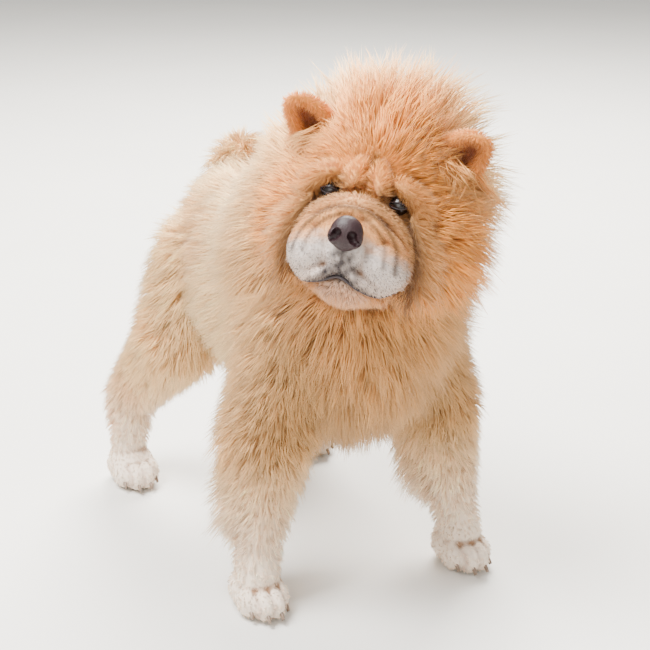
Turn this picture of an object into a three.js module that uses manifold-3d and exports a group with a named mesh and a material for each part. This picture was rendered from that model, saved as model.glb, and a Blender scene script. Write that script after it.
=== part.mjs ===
// A chow chow, life size, standing on four planted feet, as a museum model. Its forelegs
// are set wide, its head is turned to its right, tipped and a little raised.
// Millimetres, +Z up. The dog faces -Y and its left side is +X. Flesh is given as rounded
// masses under the skin, each with the depth of coat that it wears. A node has a firm core,
// and its long coat is made of flat, tapered locks rooted in that core.
import * as THREE from 'three';
import Module from 'manifold-3d';

const wasm = await Module();
wasm.setup();

// Driving dimensions
const GAP = 0.35;            // clearance between neighbouring nodes
const CORE_SHARE = 0.5;      // how much of the coat's depth the firm core takes
const FLESH_BLEND = 22;      // how softly two masses run into each other
const COAT_BLEND = 12;       // how softly one depth of coat runs into the next
const LOCK_SINK = 12;        // how deep a lock's root sits in its core
const LOCK_LEAN = 15;        // degrees by which locks stray from the lie of the coat
const ROOT_CLEARANCE = 3;    // how far a root stays from any other core
const MOST_BEND = 0.8;       // radians that a lock may turn between two of its stations
const MOST_STRETCH = 1.7;    // how much longer than planned a stretch of it may grow
const LOCK_TIP_GAP = 3;      // clearance kept in front of a lock's thin tip
const HAIR_SEED = 22;        // start of the repeatable variation between locks

const FOREFOOT_RIGHT = [-138, -205];
const FOREFOOT_LEFT = [137, -205];
const HINDFOOT_RIGHT = [-146, 205];
const HINDFOOT_LEFT = [122, 205];
const ELBOW_HEIGHT = 208;
const CARPUS_HEIGHT = 74;
const STIFLE_HEIGHT = 235;
const HOCK_HEIGHT = 122;

const HEAD_CENTRE = [8, -218, 485];
const HEAD_YAW = -37;        // degrees, towards the dog's right
const HEAD_PITCH = 14;       // nose raised
const HEAD_ROLL = 10;        // left side lowered
const EYE_RADIUS = 10.5;
const EYE_SPREAD = 38;       // from the middle of the face to each eye
const EAR_LENGTH = 70;
const EAR_WIDTH = 62;
const NOSE_AT = [0, -151, -36];

const radians = THREE.MathUtils.degToRad;
const vec = (p) => new THREE.Vector3(p[0], p[1], p[2]);
const mix = (a, b, t) => a + (b - a) * t;
const mixed = (a, b, t) => a.map((value, i) => mix(value, b[i], t));

// A repeatable random number from 0 to 1
let seedState = HAIR_SEED;
function chance() {
  seedState = (seedState * 1664525 + 1013904223) % 4294967296;
  return seedState / 4294967296;
}
const vary = (value, share) => value * (1 + share * (2 * chance() - 1));

// The head has its own frame: x to the dog's left, -y forward, z up
function headFrame() {
  const turn = new THREE.Matrix4().makeRotationZ(radians(HEAD_YAW));
  const raise = new THREE.Matrix4().makeRotationX(radians(-HEAD_PITCH));
  const tip = new THREE.Matrix4().makeRotationY(radians(HEAD_ROLL));
  return turn.multiply(raise).multiply(tip).setPosition(...HEAD_CENTRE);
}
const HEAD = headFrame();
const HEAD_INVERSE = HEAD.clone().invert();
const BODY = new THREE.Matrix4();
const inHead = (x, y, z) => vec([x, y, z]).applyMatrix4(HEAD);

// One rounded mass under the skin. `coat` is how far the hair stands out from it.
function mass(centre, radii, coat, frame = BODY) {
  const back = frame.clone().invert();
  const [rx, ry, rz] = radii;
  const q = new THREE.Vector3();
  const distance = (p) => {
    q.copy(p).applyMatrix4(back);
    const x = (q.x - centre[0]) / rx;
    const y = (q.y - centre[1]) / ry;
    const z = (q.z - centre[2]) / rz;
    const k = Math.hypot(x, y, z);
    const slope = Math.hypot(x / rx, y / ry, z / rz);
    return slope < 1e-9 ? -Math.min(rx, ry, rz) : k * (k - 1) / slope;
  };
  return { distance, coat };
}

// A tapered limb from one joint to the next
function limb(from, to, startRadius, endRadius, coat) {
  const a = vec(from);
  const along = vec(to).sub(a);
  const length2 = along.lengthSq();
  const q = new THREE.Vector3();
  const distance = (p) => {
    q.copy(p).sub(a);
    const t = THREE.MathUtils.clamp(q.dot(along) / length2, 0, 1);
    return q.addScaledVector(along, -t).length() - mix(startRadius, endRadius, t);
  };
  return { distance, coat };
}

// Masses run together into one field: the distance to the skin, and the coat's depth there
function makeField(forms, blend = FLESH_BLEND, coatAt = null) {
  const skin = (p) => {
    let d = Infinity;
    for (const form of forms) {
      const e = form.distance(p);
      if (d === Infinity) {
        d = e;
      } else {
        const h = Math.max(blend - Math.abs(d - e), 0) / blend;
        d = Math.min(d, e) - h * h * blend / 4;
      }
    }
    return d;
  };
  const blendedCoat = (p) => {
    const distances = forms.map((form) => form.distance(p));
    const nearest = Math.min(...distances);
    let sum = 0;
    let weights = 0;
    forms.forEach((form, i) => {
      const weight = Math.exp((nearest - distances[i]) / COAT_BLEND);
      sum += weight * form.coat;
      weights += weight;
    });
    return sum / weights;
  };
  const normal = (p) => {
    const e = 1.5;
    const g = new THREE.Vector3();
    for (const axis of ['x', 'y', 'z']) {
      const hi = p.clone();
      const lo = p.clone();
      hi[axis] += e;
      lo[axis] -= e;
      g[axis] = skin(hi) - skin(lo);
    }
    return g.normalize();
  };
  return { skin, coat: coatAt ?? blendedCoat, normal };
}

// Where a ray from inside a field leaves the layer at a share of the coat's depth
function castOut(field, share, grow, origin, direction) {
  const p = origin.clone();
  let travelled = 0;
  for (let i = 0; i < 60; i++) {
    const d = field.skin(p) - share * field.coat(p) - grow;
    if (d > -0.02) break;
    const step = Math.max(-d * 0.7, 0.02);
    travelled += step;
    p.copy(origin).addScaledVector(direction, travelled);
  }
  return p;
}

// A closed surface from a starting point, rings of equal count and an end point
function closedSkin(start, rings, end) {
  const sides = rings[0].length;
  const points = [start, ...rings.flat(), end];
  const last = points.length - 1;
  const faces = [];
  for (let i = 0; i < sides; i++) {
    const j = (i + 1) % sides;
    faces.push([0, 1 + j, 1 + i]);
    for (let r = 0; r < rings.length - 1; r++) {
      const a = 1 + r * sides + i;
      const b = 1 + r * sides + j;
      faces.push([a, b, b + sides], [a, b + sides, a + sides]);
    }
    faces.push([last, last - sides + i, last - sides + j]);
  }
  return solidOf(points, faces);
}

// A solid from points and faces, turned so that its faces point out
function solidOf(points, faces) {
  let volume = 0;
  const normal = new THREE.Vector3();
  for (const [a, b, c] of faces) {
    volume += normal.crossVectors(points[b], points[c]).dot(points[a]);
  }
  const order = volume < 0 ? faces.map(([a, b, c]) => [a, c, b]) : faces;
  const vertProperties = new Float32Array(points.flatMap((p) => [p.x, p.y, p.z]));
  const triVerts = new Uint32Array(order.flat());
  return new wasm.Manifold(new wasm.Mesh({ numProp: 3, vertProperties, triVerts }));
}

// A body part round a spine: rays leave the spine square to it, and fan over both ends
function sleeve(field, spine, rows, sides, share, grow, capRows = 2) {
  const curve = new THREE.CatmullRomCurve3(spine.map(vec));
  const frames = curve.computeFrenetFrames(rows - 1, false);
  const stations = [];
  for (let i = capRows; i > 0; i--) stations.push([0, -i / (capRows + 1)]);
  for (let i = 0; i < rows; i++) stations.push([i, 0]);
  for (let i = 1; i <= capRows; i++) stations.push([rows - 1, i / (capRows + 1)]);
  const rings = stations.map(([row, tilt]) => {
    const origin = curve.getPointAt(row / (rows - 1));
    const lean = tilt * Math.PI / 2;
    return Array.from({ length: sides }, (_, k) => {
      const turn = k * 2 * Math.PI / sides;
      const direction = frames.normals[row].clone().multiplyScalar(Math.cos(turn) * Math.cos(lean))
        .addScaledVector(frames.binormals[row], Math.sin(turn) * Math.cos(lean))
        .addScaledVector(frames.tangents[row], Math.sin(lean));
      return castOut(field, share, grow, origin, direction);
    });
  });
  const first = curve.getPointAt(0);
  const end = curve.getPointAt(1);
  const startPole = castOut(field, share, grow, first, frames.tangents[0].clone().negate());
  const endPole = castOut(field, share, grow, end, frames.tangents[rows - 1]);
  return closedSkin(startPole, rings, endPole);
}

// A body part round a centre: rings of rays at set angles from an axis
function ballShell(field, centre, axis, angles, sides, share, grow) {
  const pole = axis.clone().normalize();
  const side = new THREE.Vector3(0, 0, 1).cross(pole).normalize();
  const up = pole.clone().cross(side);
  const ray = (angle, turn) => pole.clone().multiplyScalar(Math.cos(angle))
    .addScaledVector(side, Math.sin(angle) * Math.cos(turn))
    .addScaledVector(up, Math.sin(angle) * Math.sin(turn));
  const rings = angles.map((degrees) => Array.from({ length: sides }, (_, k) =>
    castOut(field, share, grow, centre, ray(radians(degrees), k * 2 * Math.PI / sides))));
  return closedSkin(castOut(field, share, grow, centre, pole), rings,
    castOut(field, share, grow, centre, pole.clone().negate()));
}

// Roots of locks in bands round a centre, each band set half a step from the last
function bandRoots(field, centre, axis, bands) {
  const pole = axis.clone().normalize();
  const side = new THREE.Vector3(0, 0, 1).cross(pole).normalize();
  const up = pole.clone().cross(side);
  return bands.flatMap(([degrees, count], row) => Array.from({ length: count }, (_, k) => {
    const angle = radians(vary(degrees, 0.04));
    const turn = (k + row / 2 + 0.12 * chance()) * 2 * Math.PI / count;
    const ray = pole.clone().multiplyScalar(Math.cos(angle))
      .addScaledVector(side, Math.sin(angle) * Math.cos(turn))
      .addScaledVector(up, Math.sin(angle) * Math.sin(turn));
    return castOut(field, CORE_SHARE, 0, centre, ray);
  }));
}

// Roots of locks in rows along a straight spine, and in leaning rings over its ends
function rowRoots(field, spine, rows, count, caps) {
  const start = vec(spine[0]);
  const end = vec(spine[spine.length - 1]);
  const along = end.clone().sub(start).normalize();
  const side = along.clone().cross(new THREE.Vector3(0.2, 1, 0.3)).normalize();
  const up = along.clone().cross(side);
  const stations = Array.from({ length: rows }, (_, i) => [i / (rows - 1), 0, count]);
  stations.push(...caps);
  return stations.flatMap(([t, lean, ringCount], row) => Array.from({ length: ringCount }, (_, k) => {
    const tilt = radians(lean);
    const turn = (k + row / 2 + 0.15 * chance()) * 2 * Math.PI / ringCount;
    const origin = start.clone().lerp(end, t);
    const ray = side.clone().multiplyScalar(Math.cos(turn) * Math.cos(tilt))
      .addScaledVector(up, Math.sin(turn) * Math.cos(tilt))
      .addScaledVector(along, Math.sin(tilt));
    return castOut(field, CORE_SHARE, 0, origin, ray);
  }));
}

// What one lock is, settled once so that its clearance copy matches it
function lockPlan(root, size) {
  return { root, length: vary(size.length, 0.15), width: vary(size.width, 0.12),
    thick: vary(size.thick, 0.12), stray: LOCK_LEAN * (2 * chance() - 1),
    bend: LOCK_LEAN * (2 * chance() - 1) };
}

// A flat, tapered lock: it starts inside the core, leans over along the lie of the coat,
// bends as it goes and ends at the coat's full depth. It is left out where it would have to
// fold back on itself.
const LOCK_STATIONS = [[0.1, 0.42, 0.78], [0.4, 0.64, 1], [0.74, 0.87, 0.82]];
function lock(field, lie, plan, grow) {
  const p = plan.root.clone();
  let travelled = 0;
  let heading = new THREE.Vector3();
  let last = null;
  let straight = true;
  const advance = (t, height) => {
    const normal = field.normal(p);
    heading = lie(p);
    heading.addScaledVector(normal, -heading.dot(normal)).normalize();
    heading.applyAxisAngle(normal, radians(plan.stray + plan.bend * (2 * t - 1)));
    const before = p.clone();
    p.addScaledVector(heading, plan.length * (t - travelled));
    travelled = t;
    const outward = field.normal(p);
    p.addScaledVector(outward, height * field.coat(p) - field.skin(p));
    const step = p.clone().sub(before);
    const stretch = step.length() / (plan.length * (last ? t - last.t : t));
    if (last && (step.angleTo(last.step) > MOST_BEND || stretch > MOST_STRETCH)) straight = false;
    last = { step, t };
    return outward;
  };
  const sink = LOCK_SINK + (grow > 0 ? LOCK_TIP_GAP : 0);
  const base = plan.root.clone().addScaledVector(field.normal(plan.root), -sink);
  const rings = LOCK_STATIONS.map(([t, height, breadth]) => {
    const outward = advance(t, height);
    const across = outward.clone().cross(heading).normalize();
    const half = plan.width / 2 * breadth + grow;
    const up = plan.thick * breadth;
    return [p.clone().addScaledVector(across, -half).addScaledVector(outward, -up * 0.35 - grow),
      p.clone().addScaledVector(across, half).addScaledVector(outward, -up * 0.35 - grow),
      p.clone().addScaledVector(outward, up * 0.65 + 2 * grow)];
  });
  advance(1, 1);
  if (grow > 0) p.addScaledVector(heading, LOCK_TIP_GAP);
  return straight ? closedSkin(base, rings, p.clone()) : null;
}

// A plain ellipsoid, used for eyes, lids and small cuts
function ellipsoid(centre, radii, rows, sides, frame = HEAD) {
  const rings = Array.from({ length: rows }, (_, i) => {
    const lean = Math.PI * (i + 1) / (rows + 1);
    return Array.from({ length: sides }, (_, k) => {
      const turn = k * 2 * Math.PI / sides;
      return vec([centre[0] + radii[0] * Math.sin(lean) * Math.cos(turn),
        centre[1] - radii[1] * Math.cos(lean),
        centre[2] + radii[2] * Math.sin(lean) * Math.sin(turn)]).applyMatrix4(frame);
    });
  });
  const front = vec([centre[0], centre[1] - radii[1], centre[2]]).applyMatrix4(frame);
  const back = vec([centre[0], centre[1] + radii[1], centre[2]]).applyMatrix4(frame);
  return closedSkin(front, rings, back);
}

// A fold or lip: a rounded roll along a curve, drawn to a point at both ends
function roll(points, radius, rows, sides, grow = 0, frame = HEAD) {
  const curve = new THREE.CatmullRomCurve3(points.map((p) => vec(p).applyMatrix4(frame)));
  const frames = curve.computeFrenetFrames(rows + 1, false);
  const rings = Array.from({ length: rows }, (_, i) => {
    const t = (i + 1) / (rows + 1);
    const r = radius * Math.sqrt(Math.sin(Math.PI * t)) + grow;
    return Array.from({ length: sides }, (_, k) => {
      const turn = k * 2 * Math.PI / sides;
      return curve.getPointAt(t).addScaledVector(frames.normals[i + 1], r * Math.cos(turn))
        .addScaledVector(frames.binormals[i + 1], r * Math.sin(turn));
    });
  });
  return closedSkin(curve.getPointAt(0), rings, curve.getPointAt(1));
}

const mirrored = (points) => points.map(([x, y, z]) => [-x, y, z]);

// The coat is short on the face and deepens into the ruff all round it
const FACE = { middle: [0, -10, -8], edge: 44, ruffFrom: 96, hair: 7, ruff: 88 };
function awayFromFace(p) {
  const q = p.clone().applyMatrix4(HEAD_INVERSE).sub(vec(FACE.middle)).normalize();
  return THREE.MathUtils.radToDeg(Math.acos(THREE.MathUtils.clamp(-q.y, -1, 1)));
}
const headCoat = (p) => mix(FACE.hair, FACE.ruff,
  THREE.MathUtils.smoothstep(awayFromFace(p), FACE.edge, FACE.ruffFrom));
const MANE = { coat: 68, faceEdge: 72, fullFrom: 112 };
const maneCoat = (p) => MANE.coat
  * THREE.MathUtils.smoothstep(awayFromFace(p), MANE.faceEdge, MANE.fullFrom);

// Flesh of the trunk
const TRUNK = makeField([
  mass([0, -140, 322], [94, 105, 108], 48),
  mass([0, 0, 335], [88, 150, 104], 44),
  mass([0, 95, 345], [74, 100, 90], 42),
  mass([0, 118, 345], [68, 68, 84], 42),
  mass([0, -110, 405], [60, 85, 58], 48),
  mass([0, -190, 325], [76, 44, 84], 52),
]);
const TRUNK_SPINE = [[0, -165, 325], [0, 120, 338]];

// Flesh of the neck, under the mane
const NECK = makeField([
  limb([0, -135, 395], [6, -185, 470], 96, 88, 68),
  limb([0, -185, 360], [4, -200, 440], 82, 70, 68),
], FLESH_BLEND, maneCoat);
const NECK_MIDDLE = [2, -158, 420];

// Flesh of the head without muzzle, jaw and ears
const SKULL = makeField([
  mass([0, 0, 8], [80, 86, 76], 80, HEAD),
  mass([54, -34, -34], [42, 48, 46], 60, HEAD),
  mass([-54, -34, -34], [42, 48, 46], 60, HEAD),
  mass([0, -48, 26], [52, 38, 42], 20, HEAD),
  mass([0, -20, -60], [56, 55, 42], 60, HEAD),
  mass([0, -66, -26], [58, 30, 44], 8, HEAD),
], 16, headCoat);

// Flesh of the upper muzzle and of the lower jaw
const MUZZLE = makeField([
  mass([0, -98, -42], [52, 46, 38], 1.5, HEAD),
  mass([36, -104, -62], [30, 40, 30], 1.5, HEAD),
  mass([-36, -104, -62], [30, 40, 30], 1.5, HEAD),
  mass([0, -128, -56], [26, 24, 30], 1.5, HEAD),
], 14);
const JAW = makeField([
  mass([0, -104, -86], [40, 40, 24], 2, HEAD),
  mass([0, -80, -84], [46, 40, 24], 4, HEAD),
], 14);

// Flesh of one foreleg or hind leg, from the joints' places
function forelegJoints(side, foot) {
  const [x, y] = foot;
  return {
    shoulder: [side * 62, y + 45, 325],
    elbow: [mix(x, side * 62, 0.36), y + 22, ELBOW_HEIGHT],
    carpus: [mix(x, side * 62, 0.06), y + 10, CARPUS_HEIGHT],
    foot: [x, y, 0],
  };
}
function hindlegJoints(side, foot) {
  const [x, y] = foot;
  return {
    hip: [side * 63, y - 80, 330],
    stifle: [mix(x, side * 42, 0.42), y - 85, STIFLE_HEIGHT],
    hock: [mix(x, side * 42, 0.08), y + 18, HOCK_HEIGHT],
    ankle: [x, y + 12, 45],
    foot: [x, y, 0],
  };
}

// A paw: a broad pad with four round toes, each toe in its place along an arc
const PAW_TOES = [[-27, -14, 22], [-10, -29, 24], [10, -29, 24], [27, -14, 22]];
const PAW_CLAW = { radius: 3.2, length: 14, height: 13 };
function pawField(foot) {
  const [x, y] = foot;
  const forms = [mass([x, y + 8, 24], [31, 36, 28], 4)];
  for (const [tx, ty, r] of PAW_TOES) {
    forms.push(mass([x + tx * 0.72, y + ty, 19], [13, r - 1, 20], 3));
  }
  return makeField(forms, 6);
}

// Everything below the floor, which is at zero. It makes each sole a flat.
const FLOOR_REACH = 900;
function belowFloor() {
  const s = FLOOR_REACH;
  const corners = [];
  for (const z of [-s, 0]) {
    for (const [x, y] of [[-s, -s], [s, -s], [s, s], [-s, s]]) corners.push(vec([x, y, z]));
  }
  const faces = [[0, 1, 2], [0, 2, 3], [4, 6, 5], [4, 7, 6]];
  for (let i = 0; i < 4; i++) {
    const j = (i + 1) % 4;
    faces.push([i, i + 4, j + 4], [i, j + 4, j]);
  }
  return solidOf(corners, faces);
}

function claw(x, y) {
  const { radius, length, height } = PAW_CLAW;
  const rings = [[0, radius], [length * 0.55, radius * 0.8]].map(([forward, r]) =>
    Array.from({ length: 5 }, (_, k) => vec([x + r * Math.cos(k * Math.PI * 0.4), y - forward,
      height - forward * 0.35 + r * Math.sin(k * Math.PI * 0.4)])));
  return closedSkin(vec([x, y + 4, height]), rings, vec([x, y - length, height - length * 0.6]));
}

function paw(foot, grow) {
  const [x, y] = foot;
  const field = pawField(foot);
  const centre = vec([x, y, 20]);
  const parts = [ballShell(field, centre, vec([0, -0.35, 1]), [24, 46, 66, 84, 104], 18, 1, grow)];
  if (grow === 0) {
    for (const [tx, ty, r] of PAW_TOES) parts.push(claw(x + tx * 0.86, y + ty - r + 4));
  }
  return wasm.Manifold.union(parts).subtract(BELOW);
}

// The ear: a thick rounded triangle, hollowed in front, with its tip bent forward
function ear(side, grow) {
  const base = [side * 70, -16, 46];
  const axis = vec([side * 0.5, -0.1, 0.86]).normalize();
  const front = vec([side * 0.34, -0.94, 0.0]);
  front.addScaledVector(axis, -front.dot(axis)).normalize();
  const across = axis.clone().cross(front);
  const blade = (length, width, thick, rows, sides, ahead, bend, from) => {
    const ring = (t) => Array.from({ length: sides }, (_, k) => {
      const turn = k * 2 * Math.PI / sides;
      const spread = Math.sqrt(Math.max(1 - t ** 2.4, 0)) * mix(0.9, 1, Math.sin(Math.PI * t));
      return vec(base).addScaledVector(axis, from + t * length)
        .addScaledVector(across, Math.cos(turn) * width / 2 * spread)
        .addScaledVector(front, Math.sin(turn) * thick / 2 * mix(1, 0.62, t) * Math.max(spread, 0.35)
          + ahead + bend * t * t)
        .applyMatrix4(HEAD);
    });
    const rings = Array.from({ length: rows }, (_, i) => ring(mix(0, 0.97, i / (rows - 1))));
    const low = vec(base).addScaledVector(axis, from).addScaledVector(front, ahead);
    const high = vec(base).addScaledVector(axis, from + length).addScaledVector(front, ahead + bend);
    return closedSkin(low.applyMatrix4(HEAD), rings, high.applyMatrix4(HEAD));
  };
  const outer = blade(EAR_LENGTH + 2 * grow, EAR_WIDTH + 2 * grow, 27 + 2 * grow, 6, 12, 0, 16, -grow);
  if (grow > 0) return outer;
  const cup = blade(EAR_LENGTH - 20, EAR_WIDTH - 19, 22, 4, 8, 10, 17, 7);
  return outer.subtract(cup);
}

// The nose leather: a broad rounded pad with comma nostrils and a groove between them
function nose(grow) {
  const [x, y, z] = NOSE_AT;
  const field = makeField([
    mass([x, y, z + 1], [18.5, 13, 19], 0, HEAD),
    mass([x + 9.5, y - 3, z - 3], [10, 10, 11], 0, HEAD),
    mass([x - 9.5, y - 3, z - 3], [10, 10, 11], 0, HEAD),
  ], 5);
  const forward = vec([0, -1, 0]).transformDirection(HEAD);
  const pad = ballShell(field, inHead(x, y + 1, z), forward, [24, 46, 68, 90, 125], 16, 1, grow);
  if (grow > 0) return pad;
  const cuts = [];
  for (const side of [-1, 1]) {
    cuts.push(ellipsoid([x + side * 8, y - 13, z - 2], [3.6, 7, 4.6], 4, 8));
    cuts.push(roll([[x + side * 8, y - 10, z - 5], [x + side * 13, y - 9, z - 7.5],
      [x + side * 18, y - 3, z - 6]], 2.2, 4, 6));
  }
  cuts.push(roll([[x, y - 14, z + 4], [x, y - 15.5, z - 6], [x, y - 12, z - 17]], 1.3, 4, 6));
  return wasm.Manifold.union([pad]).subtract(wasm.Manifold.union(cuts));
}

// The eye and its lids. The lids are a low dome with an almond opening cut through it.
const eyeCentre = (side) => [side * EYE_SPREAD, -85, 2];
const eye = (side, grow) => ellipsoid(eyeCentre(side), Array(3).fill(EYE_RADIUS + grow), 5, 10);
function lidDome(side) {
  return ellipsoid(eyeCentre(side), [EYE_RADIUS + 5, EYE_RADIUS + 3.4, EYE_RADIUS + 4], 5, 10);
}
function lidOpening(side) {
  const [x, y, z] = eyeCentre(side);
  return ellipsoid([x, y - 16, z], [10, 18, 4.6], 3, 8);
}

// Rolls of loose skin: brows, the frown between them, and the folds that frame the muzzle
function faceFolds() {
  const brow = [[10, -95, 21], [30, -97, 23], [54, -86, 15], [66, -66, -6]];
  const cheek = [[20, -92, -4], [46, -90, -12], [64, -74, -36], [66, -60, -66]];
  const frown = [[0, -80, 56], [6, -88, 38], [12, -92, 16]];
  return [
    roll(brow, 9, 5, 5), roll(mirrored(brow), 9, 5, 5),
    roll(cheek, 8, 5, 5), roll(mirrored(cheek), 8, 5, 5),
    roll(frown, 6, 3, 5), roll(mirrored(frown), 6, 3, 5),
  ];
}
function muzzleFolds(grow) {
  const upper = [[-64, -84, -70], [-56, -92, -34], [-30, -106, -12], [0, -110, -7],
    [30, -106, -12], [56, -92, -34], [64, -84, -70]];
  const lower = [[64, -98, -78], [58, -108, -48], [36, -124, -28]];
  return [roll(upper, 7.5, 9, 5, grow), roll(lower, 6, 4, 5, grow),
    roll(mirrored(lower), 6, 4, 5, grow)];
}

// The tail: set high and curled forward over the croup
const TAIL_SPINE = [[0, 160, 402], [2, 174, 436], [6, 152, 458], [10, 108, 458], [12, 66, 452]];
const TAIL_MIDDLE = [6, 140, 448];
const TAIL = makeField([
  limb(TAIL_SPINE[0], TAIL_SPINE[1], 26, 20, 30),
  limb(TAIL_SPINE[1], TAIL_SPINE[2], 20, 16, 34),
  limb(TAIL_SPINE[2], TAIL_SPINE[3], 16, 12, 34),
  limb(TAIL_SPINE[3], TAIL_SPINE[4], 12, 7, 34),
]);

// Each leg's three fields, upper, lower and foot
function foreleg(side, foot) {
  const j = forelegJoints(side, foot);
  return {
    upper: makeField([limb(j.shoulder, j.elbow, 50, 38, 30)]),
    upperSpine: [j.shoulder, j.elbow],
    lower: makeField([limb(j.elbow, j.carpus, 35, 24, 15), limb(j.carpus, [j.foot[0], j.foot[1], 40], 25, 26, 5)]),
    lowerSpine: [[j.elbow[0], j.elbow[1], j.elbow[2] - 22], j.carpus, [j.foot[0], j.foot[1] + 3, 42]],
    featherSpine: [mixed(j.elbow, j.carpus, 0.18), mixed(j.elbow, j.carpus, 0.82)],
  };
}
function hindleg(side, foot) {
  const j = hindlegJoints(side, foot);
  return {
    upper: makeField([limb(j.hip, j.stifle, 46, 42, 32), limb(j.stifle, j.hock, 40, 24, 20)]),
    upperSpine: [j.hip, mixed(j.stifle, j.hock, 0.75)],
    lower: makeField([limb(j.hock, j.ankle, 25, 23, 9)]),
    lowerSpine: [j.hock, j.ankle],
  };
}

const BELOW = belowFloor();
const LEGS = {
  right: { side: -1, fore: FOREFOOT_RIGHT, hind: HINDFOOT_RIGHT },
  left: { side: 1, fore: FOREFOOT_LEFT, hind: HINDFOOT_LEFT },
};

// The lie of the coat: the way that a lock at a point grows
const down = (back) => () => new THREE.Vector3(0, back, -1);
function trunkLie(p) {
  const alongBack = THREE.MathUtils.smoothstep(p.y, -200, -110);
  const overRump = THREE.MathUtils.smoothstep(p.y, 120, 200);
  return new THREE.Vector3(0, mix(0.05, 1, alongBack) * mix(1, 0.3, overRump),
    mix(-1, -0.55, alongBack) - 0.7 * overRump);
}
function awayLie(fall, backward) {
  return (p) => {
    const outward = p.clone().sub(inHead(...FACE.middle)).normalize();
    return outward.multiplyScalar(outward.dot(forward)).sub(forward).normalize()
      .add(new THREE.Vector3(0, backward, -fall));
  };
}
const tailLie = (p) => new THREE.Vector3((p.x - TAIL_MIDDLE[0]) / 40, -0.9, -0.3);

// The nodes in the order in which they are fitted: each is cut clear of those before it
const forward = vec([0, -1, 0]).transformDirection(HEAD);
const nodes = [];
const addNode = (name, core, colour, extra = {}) => nodes.push({ name, core, colour, ...extra });
const coatOf = (field, lie, size, roots) => ({ field, lie, size, roots });

const CREAM = '#e8cdb0';
const GOLD = '#d9a878';
const ORANGE = '#d9924f';
const PALE = '#f0e0da';

for (const [name, leg] of Object.entries(LEGS)) {
  addNode(`fore_paw_${name}`, (grow) => paw(leg.fore, grow), PALE);
  addNode(`hind_paw_${name}`, (grow) => paw(leg.hind, grow), PALE);
}
for (const [name, leg] of Object.entries(LEGS)) {
  const f = foreleg(leg.side, leg.fore);
  const h = hindleg(leg.side, leg.hind);
  addNode(`forearm_${name}`, (grow) => sleeve(f.lower, f.lowerSpine, 4, 9, CORE_SHARE, grow), CREAM,
    coatOf(f.lower, down(0.3), { length: 62, width: 30, thick: 7 },
      rowRoots(f.lower, f.featherSpine, 2, 5, [])));
  addNode(`hock_${name}`, (grow) => sleeve(h.lower, h.lowerSpine, 3, 9, CORE_SHARE, grow), CREAM,
    coatOf(h.lower, down(0.25), { length: 44, width: 24, thick: 5 },
      rowRoots(h.lower, h.lowerSpine, 2, 5, [])));
  addNode(`upper_arm_${name}`, (grow) => sleeve(f.upper, f.upperSpine, 3, 10, CORE_SHARE, grow), GOLD,
    coatOf(f.upper, down(0.2), { length: 92, width: 44, thick: 9 },
      rowRoots(f.upper, f.upperSpine, 2, 7, [])));
  addNode(`thigh_${name}`, (grow) => sleeve(h.upper, h.upperSpine, 4, 10, CORE_SHARE, grow), GOLD,
    coatOf(h.upper, down(0.3), { length: 96, width: 46, thick: 9 },
      rowRoots(h.upper, h.upperSpine, 3, 7, [])));
}
addNode('nose_leather', nose, '#3a2a2c', { roughness: 0.45 });
addNode('eye_right', (grow) => eye(-1, grow), '#1c120c', { roughness: 0.1 });
addNode('eye_left', (grow) => eye(1, grow), '#1c120c', { roughness: 0.1 });
addNode('muzzle', (grow) => {
  const shell = ballShell(MUZZLE, inHead(0, -96, -52), forward, [14, 30, 46, 62, 80, 105],
    22, 1, grow);
  return wasm.Manifold.union([shell, ...muzzleFolds(grow)]);
}, PALE);
addNode('lower_jaw', (grow) => ballShell(JAW, inHead(0, -92, -86), forward,
  [20, 40, 60, 80, 105, 135], 16, 1, grow), PALE);
addNode('ear_right', (grow) => ear(-1, grow), ORANGE);
addNode('ear_left', (grow) => ear(1, grow), ORANGE);
addNode('head', (grow) => {
  const shell = ballShell(SKULL, inHead(0, -10, -8), forward,
    [16, 28, 38, 47, 58, 74, 98, 128], 20, CORE_SHARE, grow);
  if (grow > 0) return shell;
  return wasm.Manifold.union([shell, ...faceFolds(), lidDome(1), lidDome(-1)])
    .subtract(wasm.Manifold.union([lidOpening(1), lidOpening(-1)]));
}, GOLD, coatOf(SKULL, awayLie(0.25, 0.2), { length: 82, width: 50, thick: 9 },
  bandRoots(SKULL, inHead(...FACE.middle), forward, [[58, 12], [79, 14], [101, 14], [125, 10]])));
addNode('tail', (grow) => ballShell(TAIL, vec(TAIL_MIDDLE), vec([0.1, -1, 0.1]),
  [24, 52, 80, 108, 138], 9, CORE_SHARE, grow), CREAM,
coatOf(TAIL, tailLie, { length: 70, width: 34, thick: 8 },
  bandRoots(TAIL, vec(TAIL_MIDDLE), vec([0.1, -1, 0.1]), [[58, 6], [100, 7]])));
addNode('torso', (grow) => sleeve(TRUNK, TRUNK_SPINE, 5, 16, CORE_SHARE, grow, 2), CREAM,
  coatOf(TRUNK, trunkLie, { length: 112, width: 56, thick: 10 },
    rowRoots(TRUNK, TRUNK_SPINE, 5, 11, [[0, -40, 8], [0, -66, 5], [1, 45, 6]])));
addNode('neck', (grow) => ballShell(NECK, vec(NECK_MIDDLE), vec([0, -0.6, 0.8]),
  [30, 56, 80, 104, 132], 15, CORE_SHARE, grow), GOLD,
coatOf(NECK, awayLie(0.8, 0.3), { length: 118, width: 56, thick: 10 },
  bandRoots(NECK, vec(NECK_MIDDLE), vec([0, -0.6, 0.8]), [[60, 10], [88, 13], [116, 12]])));

// Every node keeps only its largest closed surface
function largest(solid) {
  return solid.decompose().reduce((best, piece) =>
    (piece.volume() > best.volume() ? piece : best));
}

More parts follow.
